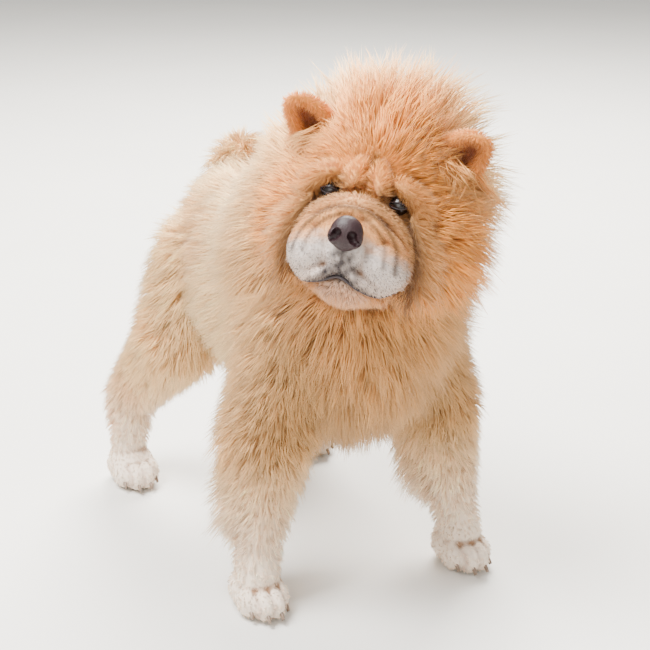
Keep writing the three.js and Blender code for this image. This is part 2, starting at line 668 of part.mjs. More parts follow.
function meshOf(node, solid) {
  const { numProp, vertProperties, triVerts } = solid.getMesh();
  const geometry = new THREE.BufferGeometry();
  const positions = new Float32Array(vertProperties.length / numProp * 3);
  for (let i = 0; i < positions.length / 3; i++) {
    for (let k = 0; k < 3; k++) positions[i * 3 + k] = vertProperties[i * numProp + k];
  }
  geometry.setAttribute('position', new THREE.BufferAttribute(positions, 3));
  geometry.setIndex(new THREE.BufferAttribute(new Uint32Array(triVerts), 1));
  geometry.computeVertexNormals();
  const material = new THREE.MeshStandardMaterial({
    color: node.colour, roughness: node.roughness ?? 0.9, metalness: 0, flatShading: true,
  });
  const mesh = new THREE.Mesh(geometry, material);
  mesh.name = node.name;
  return mesh;
}

const dog = new THREE.Group();
dog.name = 'chow_chow';
// Cores first: each is cut clear of the ones before it
const fatCores = nodes.map((node) => node.core(GAP));
nodes.forEach((node, i) => {
  const core = node.core(0);
  node.solid = i ? core.subtract(wasm.Manifold.union(fatCores.slice(0, i))) : core;
});

// Then the locks: each node's are rooted where its core is bare, and kept clear of the other
// nodes' cores and of the locks that are already there
const isBare = (own) => (root) => nodes.every((node) => node === own || !node.field
  || node.field.skin(root) - CORE_SHARE * node.field.coat(root) > ROOT_CLEARANCE);
const placedLocks = [];
for (const node of nodes.filter((each) => each.roots)) {
  const plans = node.roots.filter(isBare(node)).map((root) => lockPlan(root, node.size))
    .filter((plan) => lock(node.field, node.lie, plan, 0));
  const make = (grow) => wasm.Manifold.union(plans.map((plan) => lock(node.field, node.lie, plan, grow)));
  const others = fatCores.filter((_, i) => nodes[i] !== node);
  const locks = make(0).subtract(wasm.Manifold.union([...others, ...placedLocks, BELOW]));
  node.solid = node.solid.add(locks);
  placedLocks.push(make(GAP));
}

// Where two nodes' locks still touch, the later one is cut back by the earlier one moved a
// gap's width each way
const ways = [[1, 0, 0], [-1, 0, 0], [0, 1, 0], [0, -1, 0], [0, 0, 1], [0, 0, -1]];
const nudges = [[0, 0, 0], ...[0.5, 1].flatMap((part) =>
  ways.map((way) => way.map((value) => value * part * GAP)))];
nodes.forEach((node, i) => {
  node.solid = largest(node.solid);
  for (const earlier of nodes.slice(0, i)) {
    if (node.solid.intersect(earlier.solid).volume() === 0) continue;
    for (const nudge of nudges) {
      node.solid = node.solid.subtract(earlier.solid.translate(nudge));
    }
    node.solid = largest(node.solid);
  }
  dog.add(meshOf(node, node.solid));
});

// The origin is the middle of the footprint of the whole dog, on the floor
const bounds = new THREE.Box3().setFromObject(dog);
dog.position.set(-(bounds.min.x + bounds.max.x) / 2, -(bounds.min.y + bounds.max.y) / 2, -bounds.min.z);

export default dog;
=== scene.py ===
# %% [markdown]
# A chow chow, life size, standing with its forelegs wide and its head turned.
# A dog like this is a smooth body under a very deep coat. So the lesson first models one
# closed skin from rounded masses, and then grows the coat on it as thin solid hairs, set in
# tufts that follow the lie. The eyes and their rims, the nose leather, the seam of the lips
# and the claws are pieces of their own.

# %% Load the frame
import bpy
import math
import numpy as np
from mathutils import Matrix, Vector


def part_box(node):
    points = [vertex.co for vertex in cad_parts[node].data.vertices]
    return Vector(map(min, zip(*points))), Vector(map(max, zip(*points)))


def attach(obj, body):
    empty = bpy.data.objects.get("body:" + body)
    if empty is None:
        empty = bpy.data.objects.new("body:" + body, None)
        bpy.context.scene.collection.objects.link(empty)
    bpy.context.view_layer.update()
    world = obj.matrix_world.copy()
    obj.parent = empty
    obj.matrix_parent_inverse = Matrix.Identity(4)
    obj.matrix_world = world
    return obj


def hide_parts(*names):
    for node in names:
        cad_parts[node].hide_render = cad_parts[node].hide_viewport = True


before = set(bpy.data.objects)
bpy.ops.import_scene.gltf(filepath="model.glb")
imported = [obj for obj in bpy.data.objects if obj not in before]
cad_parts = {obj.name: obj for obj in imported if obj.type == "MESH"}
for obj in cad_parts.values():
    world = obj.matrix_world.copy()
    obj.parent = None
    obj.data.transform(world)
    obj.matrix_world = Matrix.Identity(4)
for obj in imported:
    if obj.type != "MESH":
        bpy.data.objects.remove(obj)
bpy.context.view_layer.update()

rng = np.random.default_rng(11)
MM = 0.001

# %% [markdown]
# All sizes below are in millimetres in the dog's own frame: it faces -Y, its left side is +X
# and the floor is at zero. The head has a frame of its own, turned, raised and tipped. The
# left eye, whose place is known in both, tells how far the frame's origin is from the dog's.

# %% The head's frame and the dog's place
HEAD_CENTRE = (8, -218, 485)
HEAD_YAW, HEAD_PITCH, HEAD_ROLL = -37, 14, 10
EYE_AT = (38, -85, 2)
EYE_RADIUS = 10.5
NOSE_AT = (0, -151, -36)

HEAD = (Matrix.Translation(HEAD_CENTRE) @ Matrix.Rotation(math.radians(HEAD_YAW), 4, "Z")
        @ Matrix.Rotation(math.radians(-HEAD_PITCH), 4, "X")
        @ Matrix.Rotation(math.radians(HEAD_ROLL), 4, "Y"))
HEAD_NP = np.array(HEAD)
FORWARD = HEAD_NP[:3, :3] @ np.array([0.0, -1.0, 0.0])
eye_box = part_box("eye_left")
eye_middle = (Vector(eye_box[0]) + Vector(eye_box[1])) / 2
SHIFT = eye_middle / MM - HEAD @ Vector(EYE_AT)
print("the dog's frame is moved by (mm):", [round(v, 2) for v in SHIFT])


def place(point, head=False):
    """A point in millimetres, given in the dog's or the head's frame, in metres."""
    point = HEAD @ Vector(point) if head else Vector(point)
    return (point + SHIFT) * MM


def smooth(value, low, high):
    t = np.clip((value - low) / (high - low), 0, 1)
    return t * t * (3 - 2 * t)


# %% [markdown]
# The body is a list of rounded masses. Each is a ball drawn out along its axes, or a limb
# that tapers from one joint to the next. Each names the part it belongs to and the depth of
# coat on it, so one list shapes the skin and later tells every hair how long it is.

# %% The masses of the body
FEET = {"fore_right": (-138, -205), "fore_left": (137, -205),
        "hind_right": (-146, 205), "hind_left": (122, 205)}
TOES = ((-27, -14, 22), (-10, -29, 24), (10, -29, 24), (27, -14, 22))
TAIL_SPINE = [(0, 160, 402), (2, 174, 436), (6, 152, 458), (10, 108, 458), (12, 66, 452)]
MASSES = []


def ball(part, centre, radii, coat, head=False):
    MASSES.append(dict(part=part, kind="ball", a=centre, r=radii, coat=coat, head=head))


def limb(part, start, end, start_radius, end_radius, coat):
    MASSES.append(dict(part=part, kind="limb", a=start, b=end, r=(start_radius, end_radius),
                       coat=coat, head=False))


def between(a, b, t):
    return tuple(p + (q - p) * t for p, q in zip(a, b))


ball("trunk", (0, -140, 322), (94, 105, 108), 50)
ball("trunk", (0, 0, 335), (88, 150, 104), 46)
ball("trunk", (0, 95, 345), (74, 100, 90), 44)
ball("trunk", (0, 118, 345), (68, 68, 84), 44)
ball("trunk", (0, -110, 405), (60, 85, 58), 50)
ball("trunk", (0, -190, 325), (76, 44, 84), 54)
limb("neck", (0, -135, 395), (6, -185, 470), 96, 88, 66)
limb("neck", (0, -185, 360), (4, -200, 440), 82, 70, 66)
ball("head", (0, 0, 8), (80, 86, 76), 80, True)
ball("head", (54, -34, -34), (42, 48, 46), 60, True)
ball("head", (-54, -34, -34), (42, 48, 46), 60, True)
ball("head", (0, -48, 26), (52, 38, 42), 20, True)
ball("head", (0, -20, -60), (56, 55, 42), 60, True)
ball("head", (0, -66, -26), (58, 30, 44), 8, True)
ball("muzzle", (0, -98, -42), (52, 46, 38), 2, True)
ball("muzzle", (36, -104, -62), (30, 40, 30), 2, True)
ball("muzzle", (-36, -104, -62), (30, 40, 30), 2, True)
ball("muzzle", (0, -126, -54), (26, 24, 30), 2, True)
ball("jaw", (0, -88, -90), (30, 38, 22), 7, True)
ball("jaw", (0, -74, -84), (46, 40, 24), 12, True)
for start, end, r0, r1 in zip(TAIL_SPINE, TAIL_SPINE[1:], (26, 20, 16, 12), (20, 16, 12, 7)):
    limb("tail", start, end, r0, r1, 28)
for name, (x, y) in FEET.items():
    side = 1 if "left" in name else -1
    if "fore" in name:
        shoulder = (side * 62, y + 45, 325)
        elbow = (between((x,), (side * 62,), 0.36)[0], y + 22, 208)
        carpus = (between((x,), (side * 62,), 0.06)[0], y + 10, 74)
        limb("upper_arm", shoulder, elbow, 50, 38, 32)
        limb("forearm", elbow, carpus, 35, 24, 15)
        limb("forearm", carpus, (x, y, 40), 25, 26, 5)
    else:
        hip = (side * 63, y - 80, 330)
        stifle = (between((x,), (side * 42,), 0.42)[0], y - 85, 235)
        hock = (between((x,), (side * 42,), 0.08)[0], y + 18, 122)
        limb("thigh", hip, stifle, 46, 42, 34)
        limb("thigh", stifle, hock, 40, 24, 22)
        limb("hock", hock, (x, y + 12, 45), 25, 23, 9)
    ball("paw", (x, y + 8, 24), (31, 36, 28), 3)
    for toe_x, toe_y, toe_r in TOES:
        ball("paw", (x + toe_x * 0.72, y + toe_y, 19), (12, toe_r - 2, 18), 2)
print(len(MASSES), "masses")

# %% [markdown]
# The loose skin of the face lies in rolls: the heavy brows, the frown between them, the
# folds that frame the muzzle and the one that crosses it behind the nose. Each roll is a
# path with a thickness. A row of small balls along it melts into the skin when all is joined.

# %% The folds of the face
FOLDS = {
    "brow": ([(30, -90, 24), (44, -94, 21), (58, -86, 10), (66, -74, -8)], 8.5, True),
    "pad": ([(10, -86, 38), (13, -94, 24), (18, -99, 10)], 8, True),
    "cheek": ([(56, -90, -6), (67, -84, -28), (74, -78, -56), (70, -64, -88)], 10, True),
    "bridge": ([(-64, -92, -72), (-56, -100, -36), (-34, -112, -12), (0, -118, -3),
                (34, -112, -12), (56, -100, -36), (64, -92, -72)], 6.5, False),
    "arch": ([(-48, -116, -44), (-34, -125, -24), (-16, -130, -13), (0, -132, -10),
              (16, -130, -13), (34, -125, -24), (48, -116, -44)], 5, False),
    "flank": ([(62, -100, -80), (58, -112, -50), (40, -126, -28), (20, -133, -20)], 5.5, True),
    "lip": ([(7, -143, -74), (22, -138, -84), (42, -120, -88), (58, -100, -80)], 7, True),
}


def path_points(points, spacing):
    """Points a given distance apart along a smooth path through the given ones."""
    pts = np.array(points, float)
    rows = []
    for i in range(len(pts) - 1):
        p0 = pts[max(i - 1, 0)]
        p1, p2 = pts[i], pts[i + 1]
        p3 = pts[min(i + 2, len(pts) - 1)]
        steps = max(int(np.linalg.norm(p2 - p1) / spacing), 1)
        for t in np.arange(steps) / steps:
            rows.append(0.5 * (2 * p1 + (p2 - p0) * t + (2 * p0 - 5 * p1 + 4 * p2 - p3) * t ** 2
                               + (3 * p1 - p0 - 3 * p2 + p3) * t ** 3))
    rows.append(pts[-1])
    return np.array(rows)


# %% [markdown]
# The skin: every mass is a sphere primitive, scaled and turned in place. All are joined and
# remeshed into one closed surface, which runs the masses together the way flesh does, and a
# Smooth modifier rounds off the joins. Voxels of about 3 mm keep the folds of the face.

# %% Build the skin
VOXEL = 3.1 * MM


def deselect():
    bpy.ops.object.select_all(action="DESELECT")


def only(piece):
    """Select one piece and nothing else."""
    deselect()
    piece.select_set(True)
    bpy.context.view_layer.objects.active = piece


def sphere(centre, radii, head=False, segments=20, rings=12):
    rotation = HEAD.to_euler() if head else (0, 0, 0)
    bpy.ops.mesh.primitive_uv_sphere_add(segments=segments, ring_count=rings, radius=1,
                                         location=place(centre, head), rotation=rotation)
    piece = bpy.context.object
    piece.scale = [r * MM for r in radii]
    return piece


def join(pieces, name):
    deselect()
    for piece in pieces:
        piece.select_set(True)
    bpy.context.view_layer.objects.active = pieces[0]
    bpy.ops.object.transform_apply(location=True, rotation=True, scale=True)
    bpy.ops.object.join()
    joined = bpy.context.object
    joined.name = name
    joined.data.name = name
    return joined


def apply(piece, kind, **settings):
    only(piece)
    modifier = piece.modifiers.new(kind.title(), kind)
    for key, value in settings.items():
        setattr(modifier, key, value)
    bpy.ops.object.modifier_apply(modifier=modifier.name)


# %% [markdown]
# A chow's ear is small, thick and rounded, and it leans forward over the brow. It starts as
# a sphere whose points are moved: drawn out along the ear, flattened, hollowed in front into
# a cup, and curled forward at the tip.

# %% Shape the ears
EAR = dict(base=(70, -16, 46), length=64, width=60, thick=26, bend=34, cup=15)


def ear_line(side):
    """Where an ear starts and the way it points, in the head's frame."""
    axis = np.array([side * 0.5, -0.1, 0.86])
    return np.array([side, 1, 1]) * EAR["base"], axis / np.linalg.norm(axis)


def make_ear(side):
    deselect()
    bpy.ops.mesh.primitive_uv_sphere_add(segments=40, ring_count=28, radius=1)
    ear = bpy.context.object
    base, axis = ear_line(side)
    front = np.array([side * 0.34, -0.94, 0.0])
    front -= axis * (front @ axis)
    front /= np.linalg.norm(front)
    across = np.cross(axis, front)
    points = np.array([v.co for v in ear.data.vertices])
    u, v, w = points.T
    t = (w + 1) / 2
    along = EAR["length"] * t
    spread = np.sqrt(np.clip(1 - t ** 2.6, 0, 1)) / np.sqrt(np.clip(1 - w ** 2, 0.04, 1))
    spread = np.clip(spread, 0, 1.6)
    cup = np.where(v > 0, EAR["cup"] * np.clip(1 - (u / 0.72) ** 2 - ((t - 0.5) / 0.42) ** 2, 0, 1), 0)
    out = (base + axis * along[:, None] + across * (u * EAR["width"] / 2 * spread)[:, None]
           + front * (v * EAR["thick"] / 2 - cup + EAR["bend"] * t * t)[:, None])
    world = out @ HEAD_NP[:3, :3].T + HEAD_NP[:3, 3] + np.array(SHIFT)
    ear.data.vertices.foreach_set("co", (world * MM).ravel())
    return ear


balls = []
for mass in MASSES:
    if mass["kind"] == "ball":
        balls.append(sphere(mass["a"], mass["r"], mass["head"]))
        continue
    for t in np.linspace(0, 1, 9):
        radius = mass["r"][0] + (mass["r"][1] - mass["r"][0]) * t
        balls.append(sphere(between(mass["a"], mass["b"], t), [radius] * 3))
for path, radius, both in FOLDS.values():
    for mirror in ((1, -1) if both else (1,)):
        line = path_points([(x * mirror, y, z) for x, y, z in path], 4)
        for k, point in enumerate(line):
            swell = radius * math.sqrt(math.sin(math.pi * (k + 1) / (len(line) + 1)))
            balls.append(sphere(point, [max(swell, 3)] * 3, True, 10, 6))
balls += [make_ear(1), make_ear(-1)]
skin = join(balls, "skin")
apply(skin, "REMESH", mode="VOXEL", voxel_size=VOXEL)
apply(skin, "SMOOTH", factor=0.5, iterations=5)
print("skin:", len(skin.data.polygons), "faces")

# %% [markdown]
# The floor flattens the soles, the lids close round the eyes, and the mouth is a crease
# between the lips. These are moves of the skin's points. Round each eye the skin is held a
# lid's thickness outside the eyeball, and inside the almond of the opening it drops behind.

# %% Sole, lids and mouth
LID_THICK = 2.2
LID_REACH = 22
OPENING_DROP = 3.0
CREASE_DEEP, CREASE_HALF = 7.0, 2.4
OPENING = (9.5, 3.0)
MOUTH = [(-58, -92, -88), (-42, -118, -96), (-21, -137, -91), (0, -142, -82),
         (21, -137, -91), (42, -118, -96), (58, -92, -88)]


def points_of(piece):
    flat = np.empty(len(piece.data.vertices) * 3)
    piece.data.vertices.foreach_get("co", flat)
    return flat.reshape(-1, 3) / MM - np.array(SHIFT)


def set_points(piece, points):
    piece.data.vertices.foreach_set("co", ((points + np.array(SHIFT)) * MM).ravel())
    piece.data.update()


def to_head(points):
    return (points - HEAD_NP[:3, 3]) @ HEAD_NP[:3, :3]


def from_head(points):
    return points @ HEAD_NP[:3, :3].T + HEAD_NP[:3, 3]


only(skin)
local = to_head(points_of(skin))
near_face = (local[:, 1] < -62) & (np.abs(local[:, 0]) < 80) & (np.abs(local[:, 2] + 25) < 95)
bpy.ops.object.mode_set(mode="EDIT")
bpy.ops.mesh.select_all(action="DESELECT")
bpy.ops.object.mode_set(mode="OBJECT")
skin.data.vertices.foreach_set("select", near_face)
skin.data.update()
bpy.ops.object.mode_set(mode="EDIT")
bpy.ops.mesh.select_mode(type="VERT")
bpy.ops.mesh.subdivide(number_cuts=1, smoothness=0.6)
bpy.ops.object.mode_set(mode="OBJECT")

points = points_of(skin)
points[:, 2] = np.maximum(points[:, 2], 0.0)
local = to_head(points)
for side in (-1, 1):
    eye = np.array([side * EYE_AT[0], EYE_AT[1], EYE_AT[2]])
    away = local - eye
    radius = np.linalg.norm(away, axis=1) + 1e-9
    almond = (away[:, 0] / OPENING[0]) ** 2 + (away[:, 2] / OPENING[1]) ** 2
    lid = EYE_RADIUS + LID_THICK * smooth(almond, 0.8, 1.5)
    inside = EYE_RADIUS - OPENING_DROP
    front = (away[:, 1] < 2) & (radius < LID_REACH)
    held = np.maximum(radius, lid)
    target = np.where(almond < 1.0, np.minimum(radius, inside), held)
    local = np.where(front[:, None], eye + away * (target / radius)[:, None], local)
crease = path_points(MOUTH, 2)
gap = np.min(np.linalg.norm(local[:, None, [0, 2]] - crease[None, :, [0, 2]], axis=2), axis=1)
lips = (local[:, 1] < -80) & (np.abs(local[:, 0]) < 62)
local[:, 1] += CREASE_DEEP * np.exp(-(gap / CREASE_HALF) ** 2) * lips
set_points(skin, from_head(local))
only(skin)
bpy.ops.object.shade_smooth()
print("skin now:", len(skin.data.polygons), "faces")

# %% [markdown]
# The skin is unwrapped once. Every tuft will later carry the spot of this map where it is
# rooted, so that the coat and the skin under it take their colours from the same place.

# %% Unwrap the skin
bpy.ops.object.mode_set(mode="EDIT")
bpy.ops.mesh.select_all(action="SELECT")
bpy.ops.uv.smart_project(angle_limit=math.radians(66), island_margin=0.002)
bpy.ops.object.mode_set(mode="OBJECT")
skin.data.uv_layers[0].name = "OFBake"

# %% [markdown]
# How a point of the body is dressed. The nearest masses say which part it is on and how deep
# the coat is there. On the head the depth follows the angle away from the face: hair of a few
# millimetres round the eyes, some 80 mm at the sides of the ruff and 120 mm over the crown.

# %% Parts, coat depth and lie at any point
PARTS = ["trunk", "neck", "head", "muzzle", "jaw", "tail", "upper_arm", "forearm", "thigh",
         "hock", "paw"]
COAT_BLEND = 12.0
FACE_MIDDLE = np.array([0.0, -10.0, -8.0])


def mass_distance(mass, points):
    if mass["kind"] == "ball":
        local_points = to_head(points) if mass["head"] else points
        q = (local_points - np.array(mass["a"], float)) / np.array(mass["r"], float)
        k = np.linalg.norm(q, axis=1)
        slope = np.linalg.norm(q / np.array(mass["r"], float), axis=1) + 1e-9
        return k * (k - 1) / slope
    a = np.array(mass["a"], float)
    along = np.array(mass["b"], float) - a
    t = np.clip((points - a) @ along / (along @ along), 0, 1)
    gap_to_line = np.linalg.norm(points - a - t[:, None] * along, axis=1)
    return gap_to_line - (mass["r"][0] + (mass["r"][1] - mass["r"][0]) * t)


def angle_from_face(points):
    q = to_head(points) - FACE_MIDDLE
    q /= np.linalg.norm(q, axis=1)[:, None] + 1e-9
    return np.degrees(np.arccos(np.clip(-q[:, 1], -1, 1)))


def ear_share(points):
    """How much a point belongs to an ear, from 0 to 1."""
    q = to_head(points)
    share = np.zeros(len(points))
    for side in (-1, 1):
        base, axis = ear_line(side)
        t = (q - base) @ axis
        off = np.linalg.norm(q - base - np.clip(t, 0, 70)[:, None] * axis, axis=1)
        share = np.maximum(share, smooth(t, 14, 26) * (1 - smooth(off, 36, 46)))
    return share


def ear_front(points):
    """How near a point is to the front of an ear, where the crown's hair gives way."""
    q = to_head(points)
    near = np.zeros(len(points))
    for side in (-1, 1):
        spot = np.array([side * 72, -34, 58])
        near = np.maximum(near, 1 - smooth(np.linalg.norm(q - spot, axis=1), 26, 52))
    return near


def dress(points):
    """The share of each part, and the depth of the coat, at points in millimetres."""
    distances = np.array([mass_distance(mass, points) for mass in MASSES])
    weights = np.exp((distances.min(axis=0) - distances) / COAT_BLEND)
    depth_sum = (weights * np.array([mass["coat"] for mass in MASSES])[:, None]).sum(axis=0)
    total = weights.sum(axis=0)
    shares = {part: sum(weights[i] for i, mass in enumerate(MASSES) if mass["part"] == part) / total
              for part in PARTS}
    away = angle_from_face(points)
    q = to_head(points)
    head_coat = 5 + (78 + 40 * smooth(q[:, 2], 10, 75)) * smooth(away, 31, 94)
    depth = depth_sum / total
    depth = depth * (1 - shares["head"]) + head_coat * shares["head"]
    neck_coat = (64 + 40 * smooth(points[:, 2], 505, 570)) * smooth(away, 62, 104)
    depth -= shares["neck"] * np.maximum(depth - neck_coat, 0)
    feather = shares["forearm"] * smooth(points[:, 1] + 205, 2, 34) * smooth(points[:, 2], 70, 120)
    depth += 34 * feather
    depth *= 1 - 0.55 * np.clip(shares["muzzle"], 0, 1)
    depth -= np.maximum(depth - 2.2, 0) * shares["paw"]
    ears = ear_share(points)
    shares["ear"] = ears
    depth *= 1 - 0.5 * ear_front(points)
    return shares, depth * (1 - ears) + 5 * ears


def unit(vectors):
    return vectors / (np.linalg.norm(vectors, axis=1)[:, None] + 1e-9)


def lie_of_coat(points, shares):
    """The way the hair grows: away from the face, back along the trunk, down the legs."""
    n = len(points)
    x, y, z = points.T
    out = unit(points - from_head(FACE_MIDDLE[None])[0])
    from_face = unit(out * (out @ FORWARD)[:, None] - FORWARD)
    back = smooth(y, -200, -110)
    rump = smooth(y, 120, 200)
    side = np.sign(x) * smooth(np.abs(x), 10, 70)
    trunk = np.stack([0.25 * side, (0.05 + 0.95 * back) * (1 - 0.7 * rump),
                      -1 + 0.5 * back - 0.6 * rump], axis=1)
    tail = np.stack([(x - 6) / 34, np.full(n, -0.8), np.full(n, -0.45)], axis=1)
    down = np.stack([0.12 * side, np.full(n, 0.22), np.full(n, -1.0)], axis=1)
    feather = np.stack([0.1 * side, np.full(n, 0.5), np.full(n, -1.0)], axis=1)
    forward_low = np.stack([np.zeros(n), np.full(n, -0.9), np.full(n, -0.5)], axis=1)
    head_fall = from_face + np.array([0, 0.15, -0.22])
    fall = 0.2 + 0.65 * (1 - smooth(z, 430, 540))
    neck_fall = from_face + np.stack([np.zeros(n), np.full(n, 0.2), -fall], axis=1)
    lies = {"trunk": trunk, "neck": neck_fall, "head": head_fall, "muzzle": from_face,
            "jaw": from_face, "tail": tail, "upper_arm": down, "forearm": feather,
            "thigh": feather, "hock": feather, "paw": forward_low, "ear": from_face}
    total = sum(unit(lies[part]) * shares[part][:, None] for part in shares)
    return unit(total)


# %% [markdown]
# The colours, as they look on the dog: pale cream on the body, golden on the face and the
# crown's middle, orange ears, near-white feet, and lips grey-white peppered with black. The
# root of a hair is deeper and redder than its tip. Skin and coat use the same function.
# Light and shade are painted into it too: the head's shadow on the chest, a brighter rim on
# the ruff, and shade in the creases of the face, round the eyes and between the toes.

# %% Colours of the coat
COLOURS = {"cream": "#F0C890", "gold": "#E29236", "orange": "#DC8A3C", "pale": "#F6E4D2",
           "tan_and_head_shadow": "#B4834C", "blond_and_rim_light": "#FFE0A2", "lips": "#CFC9C6", "pepper": "#292225",
           "muzzle": "#DE9C60", "groove": "#A57C68", "shadow": "#38200F"}


def linear(code):
    values = [int(code[i:i + 2], 16) / 255 for i in (1, 3, 5)]
    return np.array([v / 12.92 if v <= 0.04045 else ((v + 0.055) / 1.055) ** 2.4 for v in values])


print(len(COLOURS), "colours of the coat")

# %% [markdown]
# Dark lines draw the face. The crease beside the muzzle, the wrinkles over the nose and the
# dimple between the brows are painted shade, in the tone named shadow. The groove under the
# nose and the line of the mouth are drawn in the tone named pepper, the black of the lips.
# Each is a path in the head's x and z, with a width, a strength and a tone, and some are on
# both sides.

# %% The lines of the face
TOE_GROOVES = (-16, 0, 16)
# Lines in the tone named shadow are painted shade in the folds; those in pepper are the lips' own black
LINES = [
    ([(20, 5), (44, -4), (62, -26), (71, -58), (67, -92)], 6.5, 0.75, "shadow", True),
    ([(56, -66), (52, -44), (38, -24), (20, -12), (0, -8), (-20, -12), (-38, -24), (-52, -44),
      (-56, -66)], 2.6, 0.8, "shadow", False),
    ([(44, -62), (40, -43), (29, -27), (13, -17)], 2.4, 0.65, "shadow", True),
    ([(0, -50), (0, -68), (0, -86)], 2.4, 0.8, "pepper", False),
    ([(-30, -92), (-16, -87), (0, -80), (16, -87), (30, -92)], 4.5, 0.7, "pepper", False),
    ([(0, 32), (1, 42)], 5, 0.7, "shadow", False),
]
print(len(LINES), "lines of the face")


def waves(points, size, seed):
    """A soft uneven pattern from -1 to 1, with patches of about a given size."""
    shift = np.random.default_rng(seed).uniform(0, 6.28, (6, 3))
    turn = np.random.default_rng(seed + 1).normal(0, 1, (6, 3))
    value = sum(np.sin(points @ unit(turn)[k] * 6.28 / size * (0.7 + 0.12 * k) + shift[k, 0])
                for k in range(6))
    return value / 3


def coat_colour(points, shares):
    x, y, z = points.T
    away = angle_from_face(points)
    q = to_head(points)
    colour = np.tile(linear(COLOURS["cream"]), (len(points), 1))

    def blend(name, amount):
        nonlocal colour
        amount = np.clip(amount, 0, 1)[:, None]
        colour = colour * (1 - amount) + linear(COLOURS[name]) * amount

    # Painted shadow: the upper chest under the head is darkened to a deeper tan, partly the chest's own
    # tan and partly the head's shadow
    blend("tan_and_head_shadow", 0.8 * smooth(-y, 130, 230) * (1 - smooth(z, 380, 480)) * smooth(z, 150, 230))
    blend("gold", 0.35 * smooth(waves(points, 130, 3), 0.2, 1.0) * (shares["trunk"] + shares["thigh"]))
    blend("pale", 0.75 * (1 - smooth(z, 60, 210)))
    blend("gold", 0.7 * shares["hock"] * smooth(y, 205, 240))
    face = (shares["head"] + 0.5 * shares["neck"]) * (1 - smooth(away, 60, 125))
    blend("gold", 0.95 * face)
    blend("orange", 0.35 * shares["head"] * (1 - smooth(away, 30, 70)) * smooth(q[:, 2], -10, 40))
    # Painted rim light: the ruff away from the face is lightened, partly its own paler blond and partly
    # the glow of the light from behind
    blend("blond_and_rim_light", 0.75 * shares["head"] * smooth(away, 80, 120))
    blend("orange", 0.9 * shares["ear"])
    blend("muzzle", shares["muzzle"] + shares["jaw"])
    edge = -q[:, 2] - 0.35 * np.abs(q[:, 0]) + 3 * waves(points, 14, 21)
    blend("lips", 0.92 * shares["muzzle"] * smooth(edge, 24, 44) * smooth(-q[:, 1], 84, 112))
    half = 4 + 0.3 * np.clip(-q[:, 2] - 48, 0, 40)
    under_nose = (1 - smooth(np.abs(q[:, 0]), half, half + 11)) * smooth(-q[:, 2], 44, 56)
    under_nose *= (1 - smooth(-q[:, 2], 84, 90)) * (0.8 + 0.25 * waves(points, 9, 31))
    blend("pepper", 0.9 * under_nose * (q[:, 1] < -105))
    for path, width, strength, tone, both in LINES:
        for mirror in ((1, -1) if both else (1,)):
            line = path_points(np.array(path) * (mirror, 1), 2.5)
            near_line = np.full(len(points), 99.0)
            front = (q[:, 1] < -62) & (np.abs(q[:, 0]) < 90) & (np.abs(q[:, 2] + 30) < 90)
            gaps = np.linalg.norm(q[front][:, None, [0, 2]] - line[None], axis=2)
            near_line[front] = gaps.min(axis=1)
            blend(tone, strength * np.exp(-(near_line / width) ** 2))
    # Painted shade: the skin and hair round each deep-set eye are darkened towards the tone named
    # shadow
    for side in (-1, 1):
        near = np.linalg.norm(q - np.array([side * EYE_AT[0], EYE_AT[1] - 6, EYE_AT[2]]), axis=1)
        blend("shadow", 0.85 * np.exp(-(near / 19) ** 2))
    blend("pale", 0.9 * shares["paw"])
    # Painted shade: dark lines between the toes, in the tone named groove, where shade falls in the
    # gaps
    for foot_x, foot_y in FEET.values():
        across = x - foot_x
        line = sum(np.exp(-((across - groove) / 2.0) ** 2) for groove in TOE_GROOVES)
        front = (np.abs(across) < 42) & (np.abs(y - foot_y) < 60) & (z < 34)
        blend("groove", 0.4 * line * front * smooth(foot_y - y, 12, 30))
    return colour


# %% [markdown]
# The coat of a real chow is millions of hairs. Here it is some 166 thousand thin solid
# ones, each three-sided and tapered to a point. They stand in tufts: the hairs of one tuft
# start apart and draw together towards the tip, as damp or long hair does. Each leaves the
# skin steeply and bends over along the lie.

# %% Scatter roots on the skin
def triangles_of(piece):
    mesh = piece.data
    mesh.calc_loop_triangles()
    count = len(mesh.loop_triangles)
    corners = np.empty(count * 3, int)
    mesh.loop_triangles.foreach_get("vertices", corners)
    loops = np.empty(count * 3, int)
    mesh.loop_triangles.foreach_get("loops", loops)
    uv = np.empty(len(mesh.loops) * 2)
    mesh.uv_layers["OFBake"].data.foreach_get("uv", uv)
    return corners.reshape(-1, 3), uv.reshape(-1, 2)[loops.reshape(-1, 3)]


skin_points = points_of(skin)
normals = np.empty(len(skin.data.vertices) * 3)
skin.data.vertices.foreach_get("normal", normals)
normals = normals.reshape(-1, 3)
corner_ids, corner_uvs = triangles_of(skin)
corner_points = skin_points[corner_ids]
areas = np.linalg.norm(np.cross(corner_points[:, 1] - corner_points[:, 0],
                                corner_points[:, 2] - corner_points[:, 0]), axis=1) / 2
middle_shares, middle_depth = dress(corner_points.mean(axis=1))
print(len(corner_ids), "triangles of skin to root hairs on")

# %% [markdown]
# Little light reaches into a crease, so hair there is darker. How deep a point lies is read
# from a smoothed copy of the skin: where the copy passes outside the point, it is in a crease.

# %% How deep each point lies in a crease
CREASE_STEPS = 14
CREASE_FULL = 1.1
edge_ends = np.empty(len(skin.data.edges) * 2, int)
skin.data.edges.foreach_get("vertices", edge_ends)
edge_ends = edge_ends.reshape(-1, 2)
links = np.bincount(edge_ends.ravel(), minlength=len(skin_points))[:, None]
calm = skin_points.copy()
for _ in range(CREASE_STEPS):
    total = np.zeros_like(calm)
    np.add.at(total, edge_ends[:, 0], calm[edge_ends[:, 1]])
    np.add.at(total, edge_ends[:, 1], calm[edge_ends[:, 0]])
    calm = total / links
crease_depth = np.clip(((calm - skin_points) * normals).sum(axis=1) / CREASE_FULL, 0, 1)


